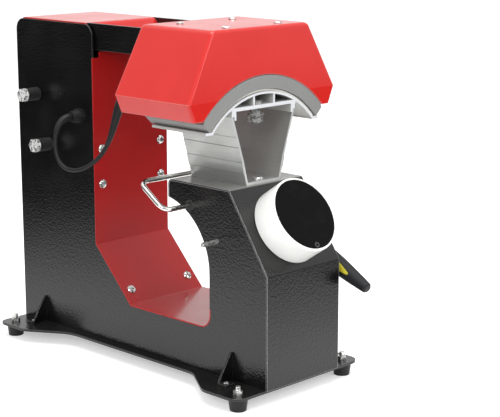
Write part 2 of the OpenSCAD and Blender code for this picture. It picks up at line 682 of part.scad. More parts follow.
module head_cable() color(dark_rubber) machine()
    swept(cable_route, cable_d / 2, cable_sides, [-1, 0, 0], [0, -1, 0]);

// Stand under the pad: an open channel that widens upwards, with a raised and a sunk band on its sides
wall_top_z = lid_z - 6;
stand_knee_z = nose_h + stand_knee_h;
stand_slope = (stand_top_w - stand_knee_w) / 2 / (stand_h - stand_knee_h);
wall_lean = stand_wall * norm([1, stand_slope]);
function stand_half(z) = z > stand_knee_z
    ? stand_knee_w / 2 + stand_slope * (z - stand_knee_z)
    : stand_foot_w / 2 + (stand_knee_w - stand_foot_w) / 2 * (z - nose_h) / stand_knee_h;
raised_band = [stand_knee_h - 14, stand_knee_h - 1.4];
sunk_band = [stand_knee_h + 17, stand_knee_h + 28.4];
function stand_band(at, out) = [for (q = [[at[0] - 0.8, 0], [at[0], out], [at[1], out], [at[1] + 0.8, 0]])
    [stand_half(nose_h + q[0]) + q[1], nose_h + q[0]]];
stand_side = concat([[stand_half(nose_h), nose_h]], stand_band(raised_band, 0.8),
    [[stand_half(stand_knee_z), stand_knee_z]], stand_band(sunk_band, -0.6),
    [[stand_half(wall_top_z), wall_top_z]]);
stand_inside = [for (z = [wall_top_z, stand_knee_z, nose_h + stand_wall]) [stand_half(z) - wall_lean, z]];
function mirrored(list) = [for (q = list) [-q[0], q[1]]];
module stand_channel() color(bare_metal) machine() difference() {
    along_y(press_front_y + 2, press_back_y + 2.5) polygon(concat(stand_side, stand_inside,
        reversed(mirrored(concat(stand_side, stand_inside)))));
    for (y = stand_bolt_y) translate([0, y, nose_h - 1]) cylinder(h = stand_wall + 2, r = 3.1);
}

module stand_screws() color(bright_metal) machine() for (y = stand_bolt_y)
    translate([0, y, nose_h + stand_wall]) {
        pan_screw(6, 12, stand_wall + cover_t + 8);
        translate([0, 0, -stand_wall - cover_t - 5]) nut(6, 10, 5);
    }

// Saddle: a curved wall on two ribs and a lid whose legs drop into the stand
saddle_r = pad_r - pad_t;
saddle_in_r = saddle_r - saddle_t;
lid_half = stand_half(wall_top_z) + 0.6;
leg_down = 4;
leg_x = stand_half(wall_top_z - leg_down) - wall_lean - side_gap;
leg_t = 2.5;
leg_seat_x = stand_half(wall_top_z) - 0.5;
rib_t = 2.4;
rim_t = 3;
rim_out = 6.8;
rim_x = pad_r * sin(pad_half_angle) + rim_out;
rim_z = arc_z + min(saddle_r * cos(pad_half_angle), platen_r * cos(pad_half_angle + 1.2) - 0.35);
function band(r0, r1, half) = concat(arc([0, arc_z], r1, 90 - half, 90 + half, 48),
    arc([0, arc_z], r0, 90 + half, 90 - half, 48));
function tip(r, angle) = [0, arc_z] + r * [sin(angle), cos(angle)];
saddle_rim = [[saddle_in_r * sin(pad_half_angle), rim_z - rim_t], [rim_x, rim_z - rim_t], [rim_x, rim_z],
    [saddle_r * sin(pad_half_angle), rim_z]];
saddle_outline = concat(arc([0, arc_z], saddle_r, 90 - pad_half_angle, 90 + pad_half_angle, 48),
    reversed(mirrored(saddle_rim)), arc([0, arc_z], saddle_in_r, 90 + pad_half_angle, 90 - pad_half_angle, 48),
    saddle_rim);
function arc_top(x) = arc_z + sqrt(saddle_in_r * saddle_in_r - x * x);
lid_bolt_y = [press_front_y + 15.5, press_back_y - 12];
module saddle() color(bare_metal) machine() difference() {
    along_y(press_front_y + 1, press_back_y - 0.5) {
        polygon(saddle_outline);
        polygon(rounded([[-lid_half, lid_z, 1], [lid_half, lid_z, 1],
            [lid_half, lid_z + lid_t, 0.5], [-lid_half, lid_z + lid_t, 0.5]]));
        for (side = [0, 1]) mirror([side, 0]) {
            translate([leg_x - leg_t, wall_top_z - leg_down])
                square([leg_t, lid_z - wall_top_z + leg_down + 1]);
            translate([leg_x - leg_t, wall_top_z])
                square([leg_seat_x - leg_x + leg_t, lid_z - wall_top_z + 1]);
            translate([(rib_pitch - rib_t) / 2, lid_z + 1]) square([rib_t, arc_top(rib_pitch / 2) - lid_z]);
        }
    }
    for (y = lid_bolt_y) translate([0, y, lid_z - 1])
        cylinder(h = lid_t + 2, r = saddle_bolt_d / 2 + 0.2);
}

// Each bolt has a low head over the lid, and a sleeve, a washer and a nut under it
sleeve_h = 8;
washer_t = 1.5;
bolt_flats = saddle_bolt_d * 1.6;
bolt_nut_h = saddle_bolt_d * 0.8;
module saddle_bolts() color(bright_metal) machine() for (y = lid_bolt_y) translate([0, y, lid_z]) {
    below = sleeve_h + washer_t + bolt_nut_h + 1.5;
    translate([0, 0, lid_t]) hexagon(bolt_flats, saddle_bolt_d * 0.35);
    translate([0, 0, -below]) cylinder(h = below + lid_t + 1, r = saddle_bolt_d / 2);
    translate([0, 0, -sleeve_h]) cylinder(h = sleeve_h, r = saddle_bolt_d / 2 + 0.8);
    translate([0, 0, -sleeve_h - washer_t]) cylinder(h = washer_t + 0.1, r = saddle_bolt_d * 1.05);
    translate([0, 0, -sleeve_h - washer_t - bolt_nut_h]) hexagon(bolt_flats, bolt_nut_h + 0.1);
}

module cap_pad() color([0.9, 0.88, 0.83]) machine()
    along_y(press_front_y + 1, press_back_y - 0.5) polygon(band(saddle_r, pad_r, pad_half_angle));

// Round control unit
dial_r = dial_d / 2;
glass_r = dial_r - 2.3;
glass_t = 2;
ledge_z = dial_depth - glass_t - 0.2;
board_z = dial_depth - 14;
module control_housing() color(white_plastic) machine() on_slope() {
    rotate_extrude($fn = 96) polygon([[10, 0], [dial_r - 1, 0], [dial_r, 1], [dial_r, dial_depth - 1.2],
        [dial_r - 0.4, dial_depth - 0.3], [dial_r - 1, dial_depth], [glass_r, dial_depth],
        [glass_r, ledge_z], [dial_r - 5, ledge_z], [dial_r - 5, ledge_z - 1.5],
        [dial_r - dial_wall, ledge_z - 3.5], [dial_r - dial_wall, 2.5], [10, 2.5]]);
    difference() {
        translate([0, 0, -cover_t - 3]) cylinder(h = cover_t + 3.1, r = dial_hole_r - 0.1);
        translate([0, 0, -cover_t - 4]) cylinder(h = cover_t + 8, r = dial_hole_r - 3);
    }
    for (turn = [30, 150, 270]) rotate(turn) translate([dial_r - 12, 0, 2.4])
        cylinder(h = board_z - 2.4, r = 3);
}

module control_board() color([0.1, 0.35, 0.2]) machine() on_slope() {
    translate([0, 0, board_z]) cylinder(h = 1.6, r = dial_r - 8);
    translate([-24, -14, board_z + 1.5]) cube([48, 28, ledge_z - board_z - 3]);
}

module control_glass() color(black_plastic) machine() on_slope() translate([0, 0, ledge_z])
    rotate_extrude($fn = 96) polygon([[0, 0], [glass_r - 0.15, 0], [glass_r - 0.15, glass_t - 0.4],
        [glass_r - 0.55, glass_t], [0, glass_t]]);

// Bail with its lever. The wire is a flat loop, tilted about its pivot line
bar = [nose_back_y + bail_d / 2 + 1.5, nose_h + 0.5];
bail_reach = norm(bar - bail_pivot);
bail_rise = atan2(bar[1] - bail_pivot[1], bar[0] - bail_pivot[0]);
bail_bend_r = 12;
wire_r = bail_d / 2;
module elbow() rotate_extrude(angle = 90) translate([bail_bend_r, 0]) circle(wire_r, $fn = 32);
module cap_bail() color(bright_metal) machine()
    translate([0, bail_pivot[0], bail_pivot[1]]) rotate([bail_rise, 0, 0]) {
        both_sides() {
            rod_x(20, bail_w / 2 - bail_bend_r, [0, 0], wire_r);
            translate([bail_w / 2 - bail_bend_r, bail_bend_r, 0]) rotate(-90) elbow();
            rod_y(bail_bend_r, bail_reach - bail_bend_r, bail_w / 2, 0, wire_r);
            translate([bail_w / 2 - bail_bend_r, bail_reach - bail_bend_r, 0]) elbow();
        }
        rod_x(-bail_w / 2 + bail_bend_r, bail_w / 2 - bail_bend_r, [bail_reach, 0], wire_r);
    }

module bail_bushes() color(black_plastic) machine() both_sides() difference() {
    union() {
        rod_x(inner_x - 1, plate_x, bail_pivot, bush_r);
        rod_x(inner_x - bush_flange_t, inner_x, bail_pivot, bush_flange_r);
    }
    rod_x(inner_x - bush_flange_t - 1, plate_x + 1, bail_pivot, wire_r + pin_gap);
}

module bail_tube() color(bare_metal) machine() difference() {
    tube_half = inner_x - bush_flange_t - side_gap;
    rod_x(-tube_half, tube_half, bail_pivot, wire_r + 2.5);
    rod_x(-plate_x, plate_x, bail_pivot, wire_r);
}

module stop_pin() color(bright_metal) machine() {
    rod_x(-plate_x - 23, -inner_x + 3, pin_place, 2.9);
    rod_x(-inner_x, -inner_x + 2, pin_place, 5);
}

// Lever: a hub on the wire, a bent bar and a tapered grip round its end
hub_x = plate_x + 3;
bar_r = 4;
module from_grip() translate([grip_x, grip_start[0], grip_start[1]])
    rotate([90 + grip_fall, 0, 0]) children();
module lever_arm() color(black_coat) machine() difference() {
    union() {
        rod_x(hub_x, grip_x + bar_r, bail_pivot, wire_r + 5);
        step = grip_start - bail_pivot;
        translate([grip_x, bail_pivot[0], bail_pivot[1]]) rotate([90 + atan2(-step[1], -step[0]), 0, 0])
            cylinder(h = norm(step), r = bar_r);
        translate([grip_x, grip_start[0], grip_start[1]]) sphere(r = bar_r + 0.7);
        from_grip() cylinder(h = grip_len * 0.85, r = bar_r);
    }
    rod_x(hub_x - 1, grip_x + bar_r + 1, bail_pivot, wire_r);
}

// Radius of the grip at the share t of its length
function grip_r(t) = t < 0.3 ? grip_d / 2 * (0.84 + 0.16 * sin(90 * t / 0.3))
    : (grip_end_d + (grip_d - grip_end_d) * cos(90 * (t - 0.3) / 0.7)) / 2;
module grip_body(more) rotate_extrude() polygon(concat([[0, 4]],
    [for (i = [0 : 14]) [(i == 0 ? 0.9 : 1) * grip_r(i / 14) + more, 4 + (grip_len - 5.5) * i / 14]],
    [[grip_tip_r, grip_len + 0.5], [0, grip_len + 0.5]]));
inlay_turn = -24;
module inlay_window(gap) rotate(inlay_turn) rotate([90, 0, 90]) linear_extrude(grip_d * 2, center = true)
    polygon(rounded([[0, grip_len * 0.3 - gap, 3], [-5 - gap, grip_len * 0.46, 9],
        [-4.2 - gap, grip_len * 0.62, 9], [0, grip_len * 0.8 + gap, 1.5],
        [4.2 + gap, grip_len * 0.62, 9], [5 + gap, grip_len * 0.46, 9]]));
module grip() color(dark_rubber) machine() from_grip() difference() {
    grip_body(0);
    inlay_window(0.05);
    cylinder(h = grip_len * 0.85 + 0.1, r = bar_r);
}

module grip_inlay() color([0.72, 0.66, 0.12]) machine() from_grip() difference() {
    intersection() {
        grip_body(0.35);
        inlay_window(0);
    }
    cylinder(h = grip_len * 0.85 + 0.1, r = bar_r);
}

// Lifting arm: two plates joined by a web, with a red cover over its rear half
arm_out_x = arm_x - panel_t;
arm_in_x = arm_out_x - arm_t;
arm_front_y = press_front_y + 18;
web_t = 2.5;
web_front_y = arm_front_y + 6.2;
crease_y = column_y + 14;
arm_back_y = rear_y - panel_t;
cover_bend_r = 11.5;
bearing_r = pivot_d / 2 + 4;
eye_pin_r = 4;
arm_outline = rounded([[arm_front_y, arm_low_z, 3], [arm_front_y, arm_top_z, 6], [crease_y, arm_top_z, 0],
    [crease_y, arm_top_z - panel_t, 0], [arm_back_y, arm_top_z - panel_t, cover_bend_r + 0.5],
    [arm_back_y, pivot[1] - 38, 16], [rod_eye[0] - 14, rod_eye[1] - 20, 10],
    [column_y + 13, arm_low_z, 10]]);
module arm_frame() color(black_coat) machine() {
    difference() {
        both_sides() along_x(arm_in_x, arm_out_x) polygon(arm_outline);
        rod_x(-plate_x, plate_x, pivot, bearing_r + pin_gap);
        rod_x(-plate_x, plate_x, rod_eye, eye_pin_r + pin_gap);
    }
    difference() {
        block([-arm_in_x - 0.1, web_front_y, arm_low_z], [arm_in_x + 0.1, column_y + 8, arm_low_z + web_t]);
        for (y = boss_y) both_sides() translate([boss_x, y, arm_low_z - 1])
            cylinder(h = web_t + 2, r = platen_bolt_r + 0.2);
    }
}

module arm_bearing() color(bare_metal) machine() difference() {
    rod_x(-inner_x + side_gap, inner_x - side_gap, pivot, bearing_r);
    rod_x(-plate_x, plate_x, pivot, pivot_d / 2 + pin_gap);
}

// The cover is bent down at the back, and in front its middle slopes down between the arm's plates
cover_fall = arm_h - 4;
cover_slope = 0.82;
cover_bend_y = crease_y - 1.8;
cover_flange_h = 14;
module arm_cover() color(red_coat) machine() {
    along_x(-arm_x, arm_x) polygon(folded([[crease_y, arm_top_z], [arm_back_y + panel_t, arm_top_z],
        [arm_back_y + panel_t, pivot[1] - 41]], panel_t, [cover_bend_r]));
    both_sides() along_x(arm_out_x, arm_x) polygon(rounded([[crease_y, arm_top_z - cover_flange_h],
        [crease_y, arm_top_z - 0.8], [arm_back_y + 0.5, arm_top_z - 0.8, cover_bend_r + 0.5],
        [arm_back_y + 0.5, arm_top_z - cover_flange_h]]));
    along_x(-arm_in_x + side_gap, arm_in_x - side_gap) polygon(folded([
        [cover_bend_y - cover_fall * cover_slope, arm_top_z - cover_fall],
        [cover_bend_y, arm_top_z], [crease_y + 8, arm_top_z]], panel_t, [6.5]));
}
function shifted_pair(path, d) = concat(path, reversed(shifted(path, d)));

module rod_pin() color(bright_metal) machine() {
    rod_x(-arm_out_x, arm_out_x, rod_eye, eye_pin_r);
    both_sides() rod_x(arm_in_x - 1.2, arm_in_x, rod_eye, eye_pin_r + 3);
}

// Plate that hangs the platen and the hood on the arm
function hood_half(z) = z < crease_z
    ? hood_w / 2 - hood_tuck * (crease_z - z) / crease_h
    : hood_w / 2 - (hood_w - hood_top_w) / 2 * (z - crease_z) / (hood_top_z - crease_z);
hood_tuck = 8.9;
hood_lean = hood_t * norm([hood_h - crease_h, (hood_w - hood_top_w) / 2]) / (hood_h - crease_h);
head_plate_t = 3;
plate_z = arm_low_z - head_plate_t;
wing_z = arm_low_z + 17;
head_plate_y = [press_front_y + 14, press_back_y + 12];
module head_plate() color(bare_metal) machine() difference() {
    along_y(head_plate_y[0], head_plate_y[1]) polygon(shifted_pair([
        [-hood_half(wing_z) + hood_lean, wing_z], [-hood_half(plate_z) + hood_lean, plate_z],
        [hood_half(plate_z) - hood_lean, plate_z], [hood_half(wing_z) - hood_lean, wing_z]], -head_plate_t));
    for (y = boss_y) both_sides() translate([boss_x, y, plate_z - 1])
        cylinder(h = head_plate_t + 2, r = platen_bolt_r + 0.2);
}

// Heating platen with four bosses, its blanket and its fasteners
boss_x = arm_in_x - 6.7;
boss_y = [press_front_y + 30, press_back_y - 16];
boss_r = 8;
spacer_h = 8;
boss_top_z = plate_z - spacer_h;
boss_root_z = arc_z + sqrt(platen_r * platen_r - pow(boss_x - boss_r, 2)) + 1.5;
platen_bolt_r = 3;
bolt_deep = 14;
sensor_top_z = arc_z + platen_top_r + 2;
platen_tip = 1.9;
platen_outline = concat(
    arc([0, arc_z], platen_top_r, 90 - platen_half_angle, 90 + platen_half_angle, 48),
    [tip(platen_top_r - platen_tip, -platen_half_angle - 2.2), tip(platen_r + 2.2, -platen_half_angle - 2.6)],
    arc([0, arc_z], platen_r, 90 + platen_half_angle + 2.5, 90 - platen_half_angle - 2.5, 48),
    [tip(platen_r + 2.2, platen_half_angle + 2.6), tip(platen_top_r - platen_tip, platen_half_angle + 2.2)]);
module platen() color(bare_metal) machine() difference() {
    union() {
        along_y(press_front_y, platen_back_y) polygon(platen_outline);
        for (y = boss_y) both_sides() translate([boss_x, y, boss_root_z])
            cylinder(h = boss_top_z - boss_root_z, r = boss_r);
        translate([0, (boss_y[0] + boss_y[1]) / 2, arc_z + platen_r + 4])
            cylinder(h = sensor_top_z - arc_z - platen_r - 4, r = 8);
    }
    for (y = boss_y) both_sides() translate([boss_x, y, boss_top_z - bolt_deep])
        cylinder(h = bolt_deep + 1, r = platen_bolt_r + pin_gap);
}

blanket_gap = 0.05;
blanket_r = [platen_top_r + blanket_gap, platen_top_r + blanket_gap + 5];
blanket_cut = platen_t + 15;
module heater_blanket() color([0.86, 0.84, 0.78]) machine() difference() {
    along_y(press_front_y + 5, press_back_y - 5)
        polygon(band(blanket_r[0], blanket_r[1], platen_half_angle - 4));
    for (y = boss_y) both_sides() translate([boss_x, y, arc_z + platen_r])
        cylinder(h = blanket_cut, r = boss_r + 0.5);
    translate([0, (boss_y[0] + boss_y[1]) / 2, arc_z + platen_r]) cylinder(h = blanket_cut, r = 9);
}

module heat_spacers() color([0.75, 0.6, 0.4]) machine() for (y = boss_y) both_sides()
    translate([boss_x, y, boss_top_z]) difference() {
        cylinder(h = spacer_h, r = boss_r);
        translate([0, 0, -1]) cylinder(h = spacer_h + 2, r = platen_bolt_r + 0.2);
    }

// The platen's bolts run through the arm's web, the head plate and the spacers
module platen_bolts() color(bright_metal) machine() for (y = boss_y) both_sides()
    translate([boss_x, y, arm_low_z + web_t]) {
        shank = web_t + head_plate_t + spacer_h + bolt_deep - 0.5;
        cylinder(h = 1.5, r = 2 * platen_bolt_r);
        translate([0, 0, 1.4]) hexagon(3.3 * platen_bolt_r, 4);
        translate([0, 0, -shank]) cylinder(h = shank + 1, r = platen_bolt_r);
    }

module thermostat() color(black_plastic) machine()
    translate([0, (boss_y[0] + boss_y[1]) / 2, sensor_top_z]) {
        cylinder(h = 6, r = 7.5);
        translate([-9, -1, 5.9]) cube([18, 2, 3]);
    }

// Hood: a bent box, open below, with arched cut-outs in its ends
hood_top_y = [5, 2];
function hood_ring(z, inset, t) =
    let (share = max(0, (z - crease_z) / (hood_top_z - crease_z)),
         hx = hood_half(z) - inset - t * hood_lean / hood_t,
         y0 = hood_front_y + hood_top_y[0] * share + inset + t,
         y1 = hood_back_y - hood_top_y[1] * share - inset - t,
         r = max(hood_edge_r - t, 0.5))
    [for (q = rounded([[hx, y0, r], [hx, y1, r], [-hx, y1, r], [-hx, y0, r]])) [q[0], q[1], z]];
hood_outer = concat([hood_ring(hood_bottom_z, 0, 0), hood_ring(crease_z, 0, 0)],
    [for (a = [0 : 22.5 : 90]) hood_ring(hood_top_z - hood_edge_r * (1 - sin(a)), hood_edge_r * (1 - cos(a)), 0)]);
hood_inner = concat([hood_ring(hood_bottom_z + hood_t, 0, hood_t), hood_ring(crease_z, 0, hood_t)],
    [for (a = [0, 45, 90]) let (r = hood_edge_r - hood_t)
        hood_ring(hood_top_z - hood_t - r * (1 - sin(a)), r * (1 - cos(a)), hood_t)]);
module skin(rings) {
    k = len(rings[0]);
    n = len(rings);
    polyhedron([for (ring = rings) each ring], concat([[for (i = [0 : k - 1]) i]],
        [for (j = [0 : n - 2]) for (i = [0 : k - 1]) for (half = [0, 1])
            let (a = j * k + i, b = j * k + (i + 1) % k)
            half == 0 ? [a, a + k, b + k] : [a, b + k, b]],
        [[for (i = [k - 1 : -1 : 0]) (n - 1) * k + i]]));
}
// Posts under the hood's top, as [y, foot height]: two on the head plate and two on the arm's web
post_x = arm_in_x - 10.7;
posts = [[press_front_y + 20, arm_low_z], [press_back_y + 4, arm_low_z + web_t]];
post_r = 3.5;
post_screw_d = 4;
relief_r = 7;
relief_hole_r = 4.5;
module hood() color(red_coat) machine() difference() {
    skin(hood_outer);
    skin(hood_inner);
    rod_y(hood_front_y - 5, hood_back_y + 5, 0, arc_z, hood_arc_r);
    block([-arm_x - 1.3, hood_back_y - 10, arm_low_z - 2], [arm_x + 1.3, hood_back_y + 5, arm_top_z + 1.5]);
    for (post = posts) both_sides() translate([post_x, post[0], hood_top_z - hood_t - 1])
        cylinder(h = hood_t + 2, r = post_screw_d / 2 + 0.1);
    rod_y(hood_back_y - 10, hood_back_y + 5, relief_x, relief_z, relief_hole_r);
}

module hood_posts() color(bare_metal) machine() for (post = posts) both_sides()
    translate([post_x, post[0], post[1]]) difference() {
        tall = hood_top_z - hood_t - post[1];
        cylinder(h = tall, r = post_r);
        translate([0, 0, tall - 10]) cylinder(h = 11, r = post_screw_d / 2 + pin_gap);
    }

module hood_screws() color(bright_metal) machine() for (post = posts) both_sides()
    translate([post_x, post[0], hood_top_z]) pan_screw(post_screw_d, post_screw_d * 2.4, hood_t + 8);

// The relief's nut bears on the leaning rear wall with its upper edge
relief_wall_y = hood_back_y - hood_t
    - hood_top_y[1] * (relief_z + relief_r - crease_z) / (hood_top_z - crease_z);
module cable_relief() color(dark_rubber) machine() {
    rod_y(relief_wall_y - 5, hood_back_y + 0.1, relief_x, relief_z, relief_hole_r - 0.1);
    rod_y(hood_back_y, hood_back_y + 2.5, relief_x, relief_z, relief_r);
    translate([relief_x, hood_back_y + 2.4, relief_z]) rotate([-90, 0, 0])
        cylinder(h = relief_len - 2.4, r1 = 6.2, r2 = cable_d / 2 + 1.4);
    rod_y(relief_wall_y - 4, relief_wall_y, relief_x, relief_z, relief_r);
}

// Lift drive: a screw in a tube, hung on two stub bolts and driven from below
tube_low = -52;
tube_top = 30;
block_half_x = 22;
gear_h = 22;
motor_y = -30;
motor_r = 15;
module drive_tube() color(bare_metal) machine() on_drive() difference() {
    union() {
        translate([0, 0, tube_low]) cylinder(h = tube_top - tube_low, r = tube_d / 2);
        block([-block_half_x, -13, -11], [block_half_x, 13, 11]);
    }
    translate([0, 0, tube_low - 1]) cylinder(h = tube_top - tube_low - 5, r = tube_d / 2 - 3);
    translate([0, 0, tube_top - 8]) cylinder(h = 10, r = rod_d / 2 + pin_gap);
    both_sides() rod_x(stub_x - 0.3, block_half_x + 1, [0, 0], pivot_d / 2 + pin_gap);
}

module drive_gearbox() color(dark_rubber) machine() on_drive() along_z(tube_low - gear_h, tube_low)
    polygon(rounded([[-20, motor_y - 18, 10], [20, motor_y - 18, 10], [20, 16, 8], [-20, 16, 8]]));
module along_z(z0, z1) translate([0, 0, z0]) linear_extrude(z1 - z0) children();

module drive_motor() color(bright_metal) machine() on_drive() translate([0, motor_y, tube_low]) {
    cylinder(h = 56, r = motor_r);
    translate([0, 0, 55.9]) cylinder(h = 4, r = motor_r - 4);
}

module drive_rod() color(bright_metal) machine() on_drive() difference() {
    union() {
        translate([0, 0, -8]) cylinder(h = drive_len + 8 - eye_pin_r - 2, r = rod_d / 2);
        rod_x(-7, 7, [0, drive_len], eye_pin_r + eye_gap + 4);
    }
    rod_x(-8, 8, [0, drive_len], eye_pin_r + eye_gap);
}

base_plate();
rubber_feet();
foot_screws();
foot_nuts();
gussets();
gusset_screws();
left_side_plate();
right_side_plate();
nose_cover();
nose_back();
throat_panel();
panel_screws();
rear_cover();
rear_screws();
pivot_bolts();
pivot_spacers();
pivot_nuts();
power_inlet();
fuse_drawer();
switch_frame();
power_rocker();
power_supply();
drive_board();
cable_gland();
head_cable();
stand_channel();
stand_screws();
saddle();
saddle_bolts();
cap_pad();
control_housing();
control_board();
control_glass();
stop_pin();
bail_bushes();
cap_bail();
bail_tube();
lever_arm();
grip();
grip_inlay();
arm_frame();
arm_bearing();
arm_cover();
rod_pin();
head_plate();
platen();
heater_blanket();
heat_spacers();
platen_bolts();
thermostat();
hood();
hood_posts();
hood_screws();
cable_relief();
drive_tube();
drive_gearbox();
drive_motor();
drive_rod();
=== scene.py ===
"""Looks of the cap heat press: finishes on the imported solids, the silicone pad, the head's cable and small trim.

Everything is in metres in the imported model's own frame, with the front towards -Y.
"""

from __future__ import annotations

import json
import logging
import math
from dataclasses import dataclass, field
from enum import Enum
from typing import Any, Callable, Iterable, Sequence

import bmesh
import bpy
from mathutils import Matrix, Vector

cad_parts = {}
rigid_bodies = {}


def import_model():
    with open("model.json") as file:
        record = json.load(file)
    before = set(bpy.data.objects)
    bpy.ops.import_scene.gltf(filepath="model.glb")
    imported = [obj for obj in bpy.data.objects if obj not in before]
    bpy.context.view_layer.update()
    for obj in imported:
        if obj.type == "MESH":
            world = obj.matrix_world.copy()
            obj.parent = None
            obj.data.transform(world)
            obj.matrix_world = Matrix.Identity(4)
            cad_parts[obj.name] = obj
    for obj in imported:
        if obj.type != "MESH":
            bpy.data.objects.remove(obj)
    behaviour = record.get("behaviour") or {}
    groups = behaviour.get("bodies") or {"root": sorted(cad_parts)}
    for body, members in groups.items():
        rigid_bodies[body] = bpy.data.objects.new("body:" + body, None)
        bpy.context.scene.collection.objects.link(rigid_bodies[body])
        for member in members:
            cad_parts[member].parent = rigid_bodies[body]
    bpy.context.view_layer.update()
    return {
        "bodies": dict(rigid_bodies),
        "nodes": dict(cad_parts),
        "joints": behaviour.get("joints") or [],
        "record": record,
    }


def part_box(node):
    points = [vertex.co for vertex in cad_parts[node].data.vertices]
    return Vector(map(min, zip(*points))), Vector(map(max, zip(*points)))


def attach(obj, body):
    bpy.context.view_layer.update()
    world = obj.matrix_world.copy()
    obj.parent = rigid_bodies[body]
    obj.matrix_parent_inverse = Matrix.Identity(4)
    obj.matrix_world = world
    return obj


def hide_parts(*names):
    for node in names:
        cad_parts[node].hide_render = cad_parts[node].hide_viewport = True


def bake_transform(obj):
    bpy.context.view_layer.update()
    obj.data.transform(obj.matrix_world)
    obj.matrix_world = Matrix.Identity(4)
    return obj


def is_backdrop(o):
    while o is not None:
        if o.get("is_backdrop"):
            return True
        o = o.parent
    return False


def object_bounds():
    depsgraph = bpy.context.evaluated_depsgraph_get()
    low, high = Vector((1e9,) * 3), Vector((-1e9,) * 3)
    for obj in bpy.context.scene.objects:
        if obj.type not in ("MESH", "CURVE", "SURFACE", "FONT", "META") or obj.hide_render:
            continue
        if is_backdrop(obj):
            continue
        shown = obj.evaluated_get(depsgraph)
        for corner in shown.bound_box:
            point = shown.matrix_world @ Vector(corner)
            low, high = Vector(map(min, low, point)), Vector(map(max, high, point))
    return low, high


LOG = logging.getLogger("cap_press")
Point = tuple[float, float, float]
Colour = tuple[float, float, float]
MM = 0.001


class Body(str, Enum):
    """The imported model's bodies that the scene's own pieces ride on."""

    FRAME = "frame"
    HEAD = "head"


class Grain(Enum):
    """The way in which a metal was worked, which decides where its fine lines run."""

    ALONG_DEPTH = (1.0, 0.02, 1.0)
    NONE = (1.0, 1.0, 1.0)


# Shader maths


class Wire:
    """One number on a shader tree, on which sums are written as usual."""

    def __init__(self, graph: "Graph", socket: Any) -> None:
        """Keeps the tree and the output socket that this number comes from."""
        self.graph = graph
        self.socket = socket

    def _sum(self, operation: str, first: Any, second: Any) -> "Wire":
        """Adds one Math node.

        Args:
            operation: the Math node's operation.
            first: a wire or a number.
            second: a wire or a number.

        Returns:
            The node's result.
        """
        return self.graph.node("ShaderNodeMath", {"operation": operation}, {0: first, 1: second})

    def __add__(self, other: Any) -> "Wire":
        """Sum."""
        return self._sum("ADD", self, other)

    __radd__ = __add__

    def __sub__(self, other: Any) -> "Wire":
        """Difference."""
        return self._sum("SUBTRACT", self, other)

    def __rsub__(self, other: Any) -> "Wire":
        """Difference, with a plain number on the left."""
        return self._sum("SUBTRACT", other, self)

    def __mul__(self, other: Any) -> "Wire":
        """Product."""
        return self._sum("MULTIPLY", self, other)

    __rmul__ = __mul__

    def clamp(self) -> "Wire":
        """Keeps the number between 0 and 1."""
        return self.graph.node("ShaderNodeClamp", {}, {"Value": self})

    def above(self, edge: float, width: float) -> "Wire":
        """A soft step from 0 to 1.

        Args:
            edge: the middle of the step.
            width: the step's whole width.

        Returns:
            0 below the step, 1 above it.
        """
        return ((self - (edge - width / 2)) * (1 / width)).clamp()


